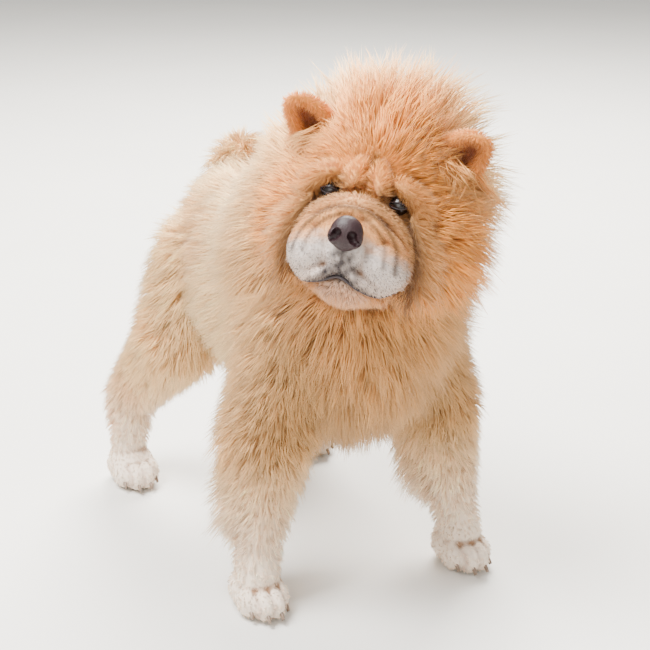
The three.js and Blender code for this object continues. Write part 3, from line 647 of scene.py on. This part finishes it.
def scatter(count, weight):
    chance = np.cumsum(areas * weight)
    picks = np.searchsorted(chance / chance[-1], (np.arange(count) + rng.random(count)) / count)
    a, b = rng.random((2, count))
    flip = a + b > 1
    a, b = np.where(flip, 1 - a, a), np.where(flip, 1 - b, b)
    mix = np.stack([1 - a - b, a, b], axis=1)
    roots = (corner_points[picks] * mix[:, :, None]).sum(axis=1)
    ups = unit((normals[corner_ids[picks]] * mix[:, :, None]).sum(axis=1))
    spots = (corner_uvs[picks] * mix[:, :, None]).sum(axis=1)
    hollow = (crease_depth[corner_ids[picks]] * mix).sum(axis=1)
    return roots, ups, spots, hollow


# %% [markdown]
# Bare places get no hair: the eyes' openings, the nose leather, the crease of the mouth and
# the soles. The rims and the seam of the lips, which are bare skin, lie there.

# %% Where no hair grows
SOLE_HEIGHT = 3
EYE_BARE = (12.0, 5.6)
NOSE_BARE = (21.0, 22.0, 20.0)
LIP_BARE = 2.6


def bare(points):
    q = to_head(points)
    hidden = points[:, 2] < SOLE_HEIGHT
    for side in (-1, 1):
        away = q - np.array([side * EYE_AT[0], EYE_AT[1], EYE_AT[2]])
        near = np.linalg.norm(away, axis=1) < 24
        hidden |= near & ((away[:, 0] / EYE_BARE[0]) ** 2 + (away[:, 2] / EYE_BARE[1]) ** 2 < 1)
    nose = (q - np.array(NOSE_AT)) / np.array(NOSE_BARE)
    hidden |= np.linalg.norm(nose, axis=1) < 1
    lip_gap = np.min(np.linalg.norm(q[:, None, [0, 2]] - crease[None, ::3, [0, 2]], axis=2), axis=1)
    hidden |= (q[:, 1] < -85) & (lip_gap < LIP_BARE)
    return hidden


# %% [markdown]
# A tuft is a spot on the skin with a way to lie, a length and a colour. All its hairs share
# these, and that makes long fur look like locks. Each tuft strays a little from the lie.

# %% The tufts
def darken(colour, amount):
    """Deeper and redder in a crease, where light hardly reaches."""
    return colour * (1 - amount[:, None] * np.array([0.62, 0.74, 0.82]))


def make_tufts(count, weight, stray):
    """Roots on the skin, each with its depth of coat, way to lie, length and colour."""
    roots, ups, spots, hollow = scatter(count, weight)
    keep = ~bare(roots)
    roots, ups, spots, hollow = roots[keep], ups[keep], spots[keep], hollow[keep]
    shares, depth = dress(roots)
    lie = lie_of_coat(roots, shares)
    lie = unit(lie - ups * (lie * ups).sum(axis=1)[:, None])
    across = np.cross(ups, lie)
    n = len(roots)
    angle = np.radians(stray) * (rng.normal(0, 0.6, n) + 0.7 * waves(roots, 60, 5))
    lie = lie * np.cos(angle)[:, None] + across * np.sin(angle)[:, None]
    length = depth * rng.uniform(0.84, 1.05, n)
    stand = 1 - 0.45 * (shares["head"] + shares["neck"] * smooth(roots[:, 2], 430, 540)) \
        * smooth(depth, 20, 50)
    colour = coat_colour(roots, shares)
    colour = darken(colour, hollow * (1 - smooth(depth, 12, 30)))
    tint = 1 + 0.10 * rng.normal(0, 1, n) + 0.08 * waves(roots, 45, 9)
    snout = np.clip(shares["muzzle"] + shares["jaw"], 0, 1)
    q = to_head(roots)
    dark_chance = 0.22 * snout * smooth(-q[:, 2], 48, 70) * smooth(-q[:, 1], 104, 130)
    return dict(roots=roots, ups=ups, spots=spots, depth=depth, lie=lie,
                across=np.cross(ups, lie), length=length, stand=stand,
                colour=colour * tint[:, None], dark_chance=dark_chance)


# %% [markdown]
# A hair starts a little under the skin, climbs steeply, and then bends over along the lie and
# sags. Its path is a few points. The hairs of a tuft start apart and draw together.

# %% The path of each hair
ROOT_DEPTH, ROOT_SHARE = 3.0, 0.4
SAG = 0.12


def hair_lines(tufts, hairs, stations, spread, reach, clump):
    """Points up every hair. reach is its sideways run as a share of the coat's depth."""
    n = len(tufts["roots"])
    repeat = np.repeat(np.arange(n), hairs)
    total = len(repeat)
    own = {key: value[repeat] for key, value in tufts.items()}
    off_a, off_b = np.clip(rng.normal(0, 0.5, (2, total)), -1, 1) \
        * np.minimum(spread, 1.2 + 0.22 * own["depth"])
    curl = np.clip(rng.normal(0, 0.14, n), -0.22, 0.22)[repeat] + rng.uniform(-0.07, 0.07, total)
    size = own["length"] * rng.uniform(0.78, 1.05, total)
    bend = rng.uniform(0.8, 1.25, total)
    sink = np.minimum(ROOT_DEPTH, ROOT_SHARE * own["depth"])
    ups, lie, across = own["ups"], own["lie"], own["across"]
    base = own["roots"] - ups * sink[:, None]
    rings = []
    for t in stations:
        draw = 1 - clump * t ** 1.3
        rise = size * (1 - (1 - t) ** 1.5) * 0.98 + sink * t
        run = size * reach * own["stand"] * bend * t ** 1.5
        spot = base + ups * rise[:, None] + lie * run[:, None]
        spot = spot + (lie * (off_a * draw)[:, None] + across * (off_b * draw)[:, None])
        spot = spot + across * (curl * size * t ** 2)[:, None]
        spot[:, 2] += -SAG * size * t ** 2
        rings.append(spot)
    tips = rings.pop()
    tips[:, 2] = np.maximum(tips[:, 2], 1.0)
    return own, rings, tips


# %% [markdown]
# Each hair is a three-sided taper round its path, over half as broad again as it is thick,
# which ends in a point. All hairs of one kind have the same faces, so these are worked out only once.

# %% The surface of each hair
SIDES = 3
TAPER = 0.55
BROAD, FLAT = 1.3, 0.7


def hair_surface(rings, tips, stations, ups, width):
    """The corners of all hairs, and the faces of one."""
    vertices = []
    thick = width * rng.uniform(0.75, 1.25, len(tips))
    for k, (spot, t) in enumerate(zip(rings, stations)):
        ahead = unit((rings[k + 1] if k + 1 < len(rings) else tips) - spot)
        flat = unit(np.cross(ahead, ups))
        up = np.cross(flat, ahead)
        half = thick * (1 - TAPER * t) / 2
        for turn in range(SIDES):
            turn_angle = turn * 2 * math.pi / SIDES
            vertices.append(spot + flat * (half * math.cos(turn_angle) * BROAD)[:, None]
                            + up * (half * math.sin(turn_angle) * FLAT)[:, None])
    vertices.append(tips)
    cloud = np.stack(vertices, axis=1)
    cloud[:, :, 2] = np.maximum(cloud[:, :, 2], 0.6)
    faces = []
    for r in range(len(rings) - 1):
        for s in range(SIDES):
            a, b = r * SIDES + s, r * SIDES + (s + 1) % SIDES
            faces += [(a, b, b + SIDES), (a, b + SIDES, a + SIDES)]
    last = (len(rings) - 1) * SIDES
    for s in range(SIDES):
        faces.append((last + s, last + (s + 1) % SIDES, len(rings) * SIDES))
    return cloud, np.array(faces)


# %% [markdown]
# A hair is deep and reddish at its root and clears towards its tip. A few on the lips are
# black. On the map named OFBake each tuft has a patch of its own, where it is rooted.

# %% Grow the hairs
PATCH = 0.003


def grow(name, count, hairs, weight, stations, spread, width, reach, stray, clump):
    """Tufts of tapered hairs, with a colour and a spot of the map at every corner."""
    stations = np.array(stations)
    tufts = make_tufts(count, weight, stray)
    own, rings, tips = hair_lines(tufts, hairs, stations, spread, reach, clump)
    cloud, faces = hair_surface(rings, tips, stations, own["ups"], width)
    total, per = cloud.shape[:2]
    climb_t = np.append(np.repeat(stations[:len(rings)], SIDES), 1.0)
    tone = own["colour"] * rng.uniform(0.92, 1.08, total)[:, None]
    dark = rng.random(total) < own["dark_chance"]
    tone[dark] = linear(COLOURS["pepper"]) * 1.5
    deep = tone * np.array([0.82, 0.70, 0.58])
    climb = (1 - (1 - climb_t) ** 1.3)[None, :, None]
    shades = deep[:, None, :] * (1 - climb) + (tone * 1.10)[:, None, :] * climb
    uv = own["spots"][:, None, :] + PATCH / 2 * np.stack(
        [np.cos(np.arange(per)), climb_t * 2 - 1], axis=1)[None]
    return dict(cloud=cloud, faces=faces, shades=np.clip(shades, 0, 1), uv=uv, name=name)


# %% [markdown]
# Hairs become joined meshes, each of at most 180,000 triangles, built straight
# from arrays because modelling them one by one would take hours. A colour per point is kept
# with each, and the map named OFBake.

# %% Turn hairs into pieces
COAT_LIMIT = 180000
coat_pieces = []


def mesh_from_arrays(name, vertices, faces, shades, uv):
    mesh = bpy.data.meshes.new(name)
    mesh.vertices.add(len(vertices))
    mesh.vertices.foreach_set("co", ((vertices + np.array(SHIFT)) * MM).ravel())
    mesh.loops.add(faces.size)
    mesh.loops.foreach_set("vertex_index", faces.ravel())
    mesh.polygons.add(len(faces))
    mesh.polygons.foreach_set("loop_start", np.arange(len(faces)) * 3)
    mesh.update(calc_edges=True)
    mesh.polygons.foreach_set("use_smooth", np.ones(len(faces), bool))
    layer = mesh.uv_layers.new(name="OFBake")
    layer.data.foreach_set("uv", uv[faces.ravel()].ravel())
    tone = mesh.color_attributes.new("coat_colour", "FLOAT_COLOR", "POINT")
    tone.data.foreach_set("color", np.column_stack([shades, np.ones(len(shades))]).ravel())
    mesh.validate()
    piece = bpy.data.objects.new(name, mesh)
    bpy.context.scene.collection.objects.link(piece)
    return piece


def make_pieces(grown):
    cloud, faces = grown["cloud"], grown["faces"]
    per = cloud.shape[1]
    group = COAT_LIMIT // len(faces)
    for number, start in enumerate(range(0, len(cloud), group)):
        part = cloud[start:start + group]
        ids = (np.arange(len(part)) * per)[:, None, None] + faces[None]
        name = f"{grown['name']}_{number + 1}"
        piece = mesh_from_arrays(name, part.reshape(-1, 3), ids.reshape(-1, 3),
                                 grown["shades"][start:start + group].reshape(-1, 3),
                                 grown["uv"][start:start + group].reshape(-1, 2))
        coat_pieces.append(piece)
    print(grown["name"], len(cloud), "hairs,", len(cloud) * len(faces), "triangles")


long_hair = smooth(middle_depth, 10, 24)
short_hair = 1 - smooth(middle_depth, 14, 30)
on_face = np.clip(middle_shares["muzzle"] + middle_shares["jaw"] + middle_shares["head"]
                  + middle_shares["ear"], 0, 1)
make_pieces(grow("long_coat", count=13600, hairs=8, weight=long_hair, stations=[0, 0.5, 1],
                 spread=8.5, width=1.3, reach=0.72, stray=16, clump=0.3))
make_pieces(grow("face_coat", count=13500, hairs=3, weight=short_hair * on_face,
                 stations=[0, 0.55, 1], spread=1.7, width=0.5, reach=1.3, stray=12, clump=0.35))
make_pieces(grow("leg_coat", count=4900, hairs=4, weight=short_hair * (1.05 - on_face),
                 stations=[0, 0.5, 1], spread=3.0, width=0.95, reach=1.4, stray=14, clump=0.5))
print(len(coat_pieces), "pieces of coat")

# %% [markdown]
# One function adds a shader node with its settings and links. Fur is soft and matt, with a
# little sheen where light grazes it. The skin under it wears the same colours, darker. The
# grain of both is about 4 mm, the width of a fine lock.

# %% Materials of coat and skin
# The colour sockets of a Mix node share their names with others, so they are known by number
MIX_FACTOR, MIX_FIRST, MIX_SECOND, MIX_COLOUR = 0, 6, 7, 2


def add(tree, kind, settings=(), links=()):
    """A node with its settings, and with links to its sockets."""
    node = tree.nodes.new(kind)
    for key, value in dict(settings).items():
        if isinstance(key, int) or key in node.inputs:
            node.inputs[key].default_value = value
        else:
            setattr(node, key, value)
    for key, source in dict(links).items():
        tree.links.new(source, node.inputs[key])
    return node


def rgba(code):
    return (*linear(code), 1.0)


def new_material(name, finish):
    """A material whose shader has the given finish, the same all over."""
    material = bpy.data.materials.new(name)
    material.use_nodes = True
    tree = material.node_tree
    shader = next(node for node in tree.nodes if node.type == "BSDF_PRINCIPLED")
    for socket, value in finish.items():
        shader.inputs[socket].default_value = value
    return material, tree, shader


def coat_material(name, gain, bump):
    material, tree, shader = new_material(
        name, {"Roughness": 0.62, "Specular IOR Level": 0.15, "Sheen Weight": 0.1})
    tone = add(tree, "ShaderNodeAttribute", {"attribute_name": "coat_colour"})
    spot = add(tree, "ShaderNodeTexCoord")
    grain = add(tree, "ShaderNodeTexNoise", {"Scale": 260.0, "Detail": 3.0},
                {"Vector": spot.outputs["Object"]})
    spread = add(tree, "ShaderNodeMapRange", {"To Min": gain * 0.86, "To Max": gain * 1.10},
                 {"Value": grain.outputs["Fac"]})
    tinted = add(tree, "ShaderNodeVectorMath", {"operation": "SCALE"},
                 {"Vector": tone.outputs["Color"], "Scale": spread.outputs["Result"]})
    tree.links.new(tinted.outputs["Vector"], shader.inputs["Base Color"])
    if bump:
        rise = add(tree, "ShaderNodeBump", {"Strength": bump, "Distance": 0.0008},
                   {"Height": grain.outputs["Fac"]})
        tree.links.new(rise.outputs["Normal"], shader.inputs["Normal"])
    return material


hair_material = coat_material("dog_hair", 1.0, 0)
skin_material = coat_material("haired_skin", 0.8, 0.8)
for piece in coat_pieces:
    piece.data.materials.append(hair_material)
    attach(piece, "root")

skin_points = points_of(skin)
skin_shares, skin_depth = dress(skin_points)
skin_tone = skin.data.color_attributes.new("coat_colour", "FLOAT_COLOR", "POINT")
skin_colours = darken(coat_colour(skin_points, skin_shares),
                      crease_depth * (1 - smooth(skin_depth, 12, 30)))
skin_tone.data.foreach_set("color", np.column_stack(
    [skin_colours, np.ones(len(skin_colours))]).ravel())
skin.data.materials.clear()
skin.data.materials.append(skin_material)
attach(skin, "root")
FLESH = ["head", "neck", "muzzle", "lower_jaw", "ear_left", "ear_right", "torso", "tail"]
for side in ("left", "right"):
    FLESH += [f"upper_arm_{side}", f"forearm_{side}", f"fore_paw_{side}",
              f"thigh_{side}", f"hock_{side}", f"hind_paw_{side}"]
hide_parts(*FLESH)

# %% [markdown]
# The nose leather is a broad pad with two wings, comma nostrils and a groove between them.
# Three balls are remeshed into one, and a Boolean cuts the nostrils. Its skin is pebbled and
# a little moist: cells of about 1.2 mm in the bump, and a faint clear coat.

# %% The nose leather
NOSTRIL = ((8.5, -13, 0, 5.8), (10.5, -12.5, -4, 5.0), (14, -10, -6.5, 3.8), (17.5, -7, -7.5, 2.8))
nose = join([sphere((NOSE_AT[0], NOSE_AT[1], NOSE_AT[2] + 1), (18.2, 12.8, 18.8), True),
             sphere((9.5, NOSE_AT[1] - 2.6, NOSE_AT[2] - 3), (9.6, 9.6, 10.6), True),
             sphere((-9.5, NOSE_AT[1] - 2.6, NOSE_AT[2] - 3), (9.6, 9.6, 10.6), True)], "nose_pad")
apply(nose, "REMESH", mode="VOXEL", voxel_size=0.9 * MM)
apply(nose, "SMOOTH", factor=0.5, iterations=8)
cutters = []
for side in (-1, 1):
    for x, y, z, r in NOSTRIL:
        cutters.append(sphere((side * x, NOSE_AT[1] + y, NOSE_AT[2] + z), (r, r * 1.7, r),
                              True, 16, 10))
for z in np.arange(4, -17, -1.5):
    cutters.append(sphere((0, NOSE_AT[1] - 13 - 1.5 * math.cos(z / 9), NOSE_AT[2] + z), (1.0, 2.0, 1.6),
                          True, 10, 8))
cutter = join(cutters, "nostrils")
apply(cutter, "REMESH", mode="VOXEL", voxel_size=0.6 * MM)
apply(nose, "BOOLEAN", operation="DIFFERENCE", object=cutter, solver="EXACT")
bpy.data.objects.remove(cutter)
only(nose)
bpy.ops.object.shade_smooth()
# Nose leather: thick bare skin, nearly black, whose pebbles break up a soft moist shine
leather, tree, shader = new_material("nose_leather", {
    "Roughness": 0.48, "Specular IOR Level": 0.3, "Coat Weight": 0.06, "Coat Roughness": 0.25})
spot = add(tree, "ShaderNodeTexCoord")
cells = add(tree, "ShaderNodeTexVoronoi", {"Scale": 800.0}, {"Vector": spot.outputs["Object"]})
pebble = add(tree, "ShaderNodeBump", {"Strength": 0.5, "Distance": 0.0005},
             {"Height": cells.outputs["Distance"]})
cloud = add(tree, "ShaderNodeTexNoise", {"Scale": 60.0}, {"Vector": spot.outputs["Object"]})
shade = add(tree, "ShaderNodeMix",
            {"data_type": "RGBA", MIX_FIRST: rgba("#1C0D10"), MIX_SECOND: rgba("#2C171B")},
            {MIX_FACTOR: cloud.outputs["Fac"]})
tree.links.new(shade.outputs[MIX_COLOUR], shader.inputs["Base Color"])
tree.links.new(pebble.outputs["Normal"], shader.inputs["Normal"])
nose.data.materials.clear()
nose.data.materials.append(leather)
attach(nose, "root")
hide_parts("nose_leather")
print("nose leather:", len(nose.data.polygons), "faces")

# %% [markdown]
# The eyes are dark brown and lie deep between the folds, so little more than a wet glint
# shows. Each is a sphere, and its rim is a thin dark roll of bare skin round the almond
# opening. Rolls like these are made by one function that sweeps a ring along a path.

# %% Eyes and rims
def tube(name, points, radii, sides=10, closed=False, head=True):
    """A ring swept along a path, which may be closed."""
    pts = np.array([place(p, head) for p in points])
    count = len(pts)
    ahead = np.roll(pts, -1, axis=0) - np.roll(pts, 1, axis=0)
    if not closed:
        ahead[0], ahead[-1] = pts[1] - pts[0], pts[-1] - pts[-2]
    ahead = unit(ahead)
    side = unit(np.cross(ahead, np.array([0.31, 0.22, 0.92])))
    up = np.cross(ahead, side)
    turn = np.arange(sides) * 2 * math.pi / sides
    radii = np.broadcast_to(np.array(radii, float) * MM, (count,))
    rings = pts[:, None] + radii[:, None, None] * (side[:, None] * np.cos(turn)[None, :, None]
                                                   + up[:, None] * np.sin(turn)[None, :, None])
    faces = []
    for i in range(count if closed else count - 1):
        j = (i + 1) % count
        for k in range(sides):
            m = (k + 1) % sides
            faces.append((i * sides + k, j * sides + k, j * sides + m, i * sides + m))
    if not closed:
        faces.append(tuple(range(sides)))
        faces.append(tuple(reversed(range((count - 1) * sides, count * sides))))
    mesh = bpy.data.meshes.new(name)
    mesh.from_pydata([tuple(v) for v in rings.reshape(-1, 3)], [], faces)
    piece = bpy.data.objects.new(name, mesh)
    bpy.context.scene.collection.objects.link(piece)
    only(piece)
    bpy.ops.object.mode_set(mode="EDIT")
    bpy.ops.mesh.select_all(action="SELECT")
    bpy.ops.mesh.normals_make_consistent(inside=False)
    bpy.ops.object.mode_set(mode="OBJECT")
    bpy.ops.object.shade_smooth()
    return piece


# Wet eye: a dark iris under a film of tears, which gives a small sharp glint
eye_material, tree, shader = new_material("wet_eye", {
    "Roughness": 0.25, "Coat Weight": 0.05, "Coat Roughness": 0.05})
spot = add(tree, "ShaderNodeTexCoord")
fleck = add(tree, "ShaderNodeTexNoise", {"Scale": 500.0}, {"Vector": spot.outputs["Object"]})
shade = add(tree, "ShaderNodeMix",
            {"data_type": "RGBA", MIX_FIRST: rgba("#0B0604"), MIX_SECOND: rgba("#1C0F08")},
            {MIX_FACTOR: fleck.outputs["Fac"]})
tree.links.new(shade.outputs[MIX_COLOUR], shader.inputs["Base Color"])

# Bare dark skin: matt and finely wrinkled, about a wrinkle to the millimetre
rim_material, tree, shader = new_material("bare_dark_skin", {"Roughness": 0.7})
spot = add(tree, "ShaderNodeTexCoord")
wrinkle = add(tree, "ShaderNodeTexNoise", {"Scale": 900.0, "Detail": 4.0},
              {"Vector": spot.outputs["Object"]})
rise = add(tree, "ShaderNodeBump", {"Strength": 0.4, "Distance": 0.0004},
           {"Height": wrinkle.outputs["Fac"]})
shade = add(tree, "ShaderNodeMix",
            {"data_type": "RGBA", MIX_FIRST: rgba("#1A1213"), MIX_SECOND: rgba("#33262A")},
            {MIX_FACTOR: wrinkle.outputs["Fac"]})
tree.links.new(shade.outputs[MIX_COLOUR], shader.inputs["Base Color"])
tree.links.new(rise.outputs["Normal"], shader.inputs["Normal"])

RIM_POINTS = 40
for side, word in ((-1, "right"), (1, "left")):
    deselect()
    eye_piece = sphere((side * EYE_AT[0], EYE_AT[1], EYE_AT[2]), (EYE_RADIUS,) * 3, True, 40, 28)
    eye_piece = join([eye_piece], f"eyeball_{word}")
    bpy.ops.object.shade_smooth()
    eye_piece.data.materials.append(eye_material)
    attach(eye_piece, "root")
    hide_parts(f"eye_{word}")
    ring = []
    for k in range(RIM_POINTS):
        turn = k * 2 * math.pi / RIM_POINTS
        x, z = OPENING[0] * 1.02 * math.cos(turn), OPENING[1] * 1.1 * math.sin(turn)
        y = -math.sqrt(max((EYE_RADIUS + 0.9) ** 2 - x * x - z * z, 1.0))
        ring.append((side * EYE_AT[0] + x, EYE_AT[1] + y, EYE_AT[2] + z))
    rim = tube(f"eye_rim_{word}", ring, 0.7, 8, closed=True)
    rim.data.materials.append(rim_material)
    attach(rim, "root")
    print(eye_piece.name, "and", rim.name)

# %% [markdown]
# A chow's lips are dark. Where the upper lip meets the lower one, a thin bare dark seam
# follows the crease of the mouth. A roll about 3 mm thick, thinner at its ends, lies in it.

# %% The seam of the mouth
seam = path_points(MOUTH, 3)
seam[:, 1] += 4.0
thickness = 0.5 + 1.2 * np.sin(np.linspace(0, math.pi, len(seam)))
mouth = tube("lip_seam", seam, thickness, 8)
mouth.data.materials.append(rim_material)
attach(mouth, "root")

# %% [markdown]
# Sixteen claws, one to a toe. They are blunt and horn-coloured and just show through the
# hair. Each is a short curved taper.

# %% Claws
# Horn: grown in layers and worn smooth, so it has a dull shine and uneven patches of 3 mm
claw_material, tree, shader = new_material("horn", {"Roughness": 0.35})
spot = add(tree, "ShaderNodeTexCoord")
patches = add(tree, "ShaderNodeTexNoise", {"Scale": 300.0}, {"Vector": spot.outputs["Object"]})
shade = add(tree, "ShaderNodeMix",
            {"data_type": "RGBA", MIX_FIRST: rgba("#5A483C"), MIX_SECOND: rgba("#8C7664")},
            {MIX_FACTOR: patches.outputs["Fac"]})
tree.links.new(shade.outputs[MIX_COLOUR], shader.inputs["Base Color"])
for name, (x, y) in FEET.items():
    for number, (toe_x, toe_y, toe_r) in enumerate(TOES):
        front = y + toe_y - toe_r + 5
        path = [(x + toe_x * 0.8, front + 4, 14), (x + toe_x * 0.82, front, 13.5),
                (x + toe_x * 0.84, front - 3, 11.5), (x + toe_x * 0.86, front - 6, 8)]
        piece = tube(f"claw_{name}_{number + 1}", path_points(path, 2), 3.0, 8, head=False)
        shape = points_of(piece)
        t = np.clip((front + 4 - shape[:, 1]) / 12, 0, 1)
        middle = x + toe_x * 0.83
        shape[:, 0] = middle + (shape[:, 0] - middle) * (1 - 0.55 * t)
        set_points(piece, shape)
        piece.data.materials.append(claw_material)
        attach(piece, "root")
print(len(FEET) * len(TOES), "claws")

# %% [markdown]
# A plain pale floor, a soft light from behind and above, which gives the coat its bright
# edge, one from high over the dog's right side, and a weak fill from the front. The camera
# was fitted to the photograph: 26 degrees to the dog's right of its front and 19 degrees
# above, with a long lens.

# %% Floor, light and camera
deselect()
bpy.ops.mesh.primitive_plane_add(size=60, location=(0, 0, 0))
floor = bpy.context.object
floor.name = "floor"
# Painted floor: plain and matt, uneven only over a third of a metre
floor_material, tree, shader = new_material("pale_floor", {"Roughness": 0.8})
spot = add(tree, "ShaderNodeTexCoord")
grain = add(tree, "ShaderNodeTexNoise", {"Scale": 3.0}, {"Vector": spot.outputs["Object"]})
shade = add(tree, "ShaderNodeMix",
            {"data_type": "RGBA", MIX_FIRST: rgba("#D6D4CF"), MIX_SECOND: rgba("#DEDCD7")},
            {MIX_FACTOR: grain.outputs["Fac"]})
tree.links.new(shade.outputs[MIX_COLOUR], shader.inputs["Base Color"])
floor.data.materials.append(floor_material)

world = bpy.data.worlds.new("studio")
bpy.context.scene.world = world
world.use_nodes = True
sky = world.node_tree.nodes["Background"]
sky.inputs["Color"].default_value = (1.0, 0.98, 0.94, 1)
sky.inputs["Strength"].default_value = 0.85


def soft_light(name, location, size, power, colour):
    """A square lamp that points at the middle of the dog."""
    lamp = bpy.data.lights.new(name, "AREA")
    lamp.size = size
    lamp.energy = power
    lamp.color = colour
    holder = bpy.data.objects.new(name, lamp)
    bpy.context.scene.collection.objects.link(holder)
    holder.location = location
    aim = Vector((0, 0, 0.35)) - Vector(location)
    holder.rotation_euler = aim.to_track_quat("-Z", "Y").to_euler()


soft_light("back_light", (1.2, 1.9, 2.6), 1.8, 480, (1.0, 0.97, 0.92))
soft_light("front_fill", (-1.8, -2.8, 1.7), 2.4, 55, (1.0, 0.98, 0.95))
soft_light("top_light", (-1.3, -0.1, 2.9), 1.6, 330, (1.0, 0.99, 0.97))

FOCAL_PX, FRAME_PX, SENSOR = 1700, 650, 36
AZIMUTH, ELEVATION = math.radians(-26), math.radians(19)
ANCHOR, ANCHOR_PX, ANCHOR_SCALE = Vector((0, -200, 0)), (360, 582), 0.82
backward = Vector((math.sin(AZIMUTH) * math.cos(ELEVATION),
                   -math.cos(AZIMUTH) * math.cos(ELEVATION), math.sin(ELEVATION)))
right = Vector((math.cos(AZIMUTH), math.sin(AZIMUTH), 0))
upward = backward.cross(right)
distance = FOCAL_PX / ANCHOR_SCALE
eye_point = (ANCHOR + backward * distance
             - right * (ANCHOR_PX[0] - FRAME_PX / 2) / ANCHOR_SCALE
             - upward * (FRAME_PX / 2 - ANCHOR_PX[1]) / ANCHOR_SCALE)
lens = bpy.data.cameras.new("camera")
lens.sensor_width = SENSOR
lens.lens = FOCAL_PX / FRAME_PX * SENSOR
camera = bpy.data.objects.new("camera", lens)
bpy.context.scene.collection.objects.link(camera)
turn = Matrix((right, upward, backward)).transposed().to_4x4()
camera.matrix_world = Matrix.Translation((eye_point + SHIFT) * MM) @ turn
bpy.context.scene.camera = camera
print("camera at", [round(v, 3) for v in camera.location])
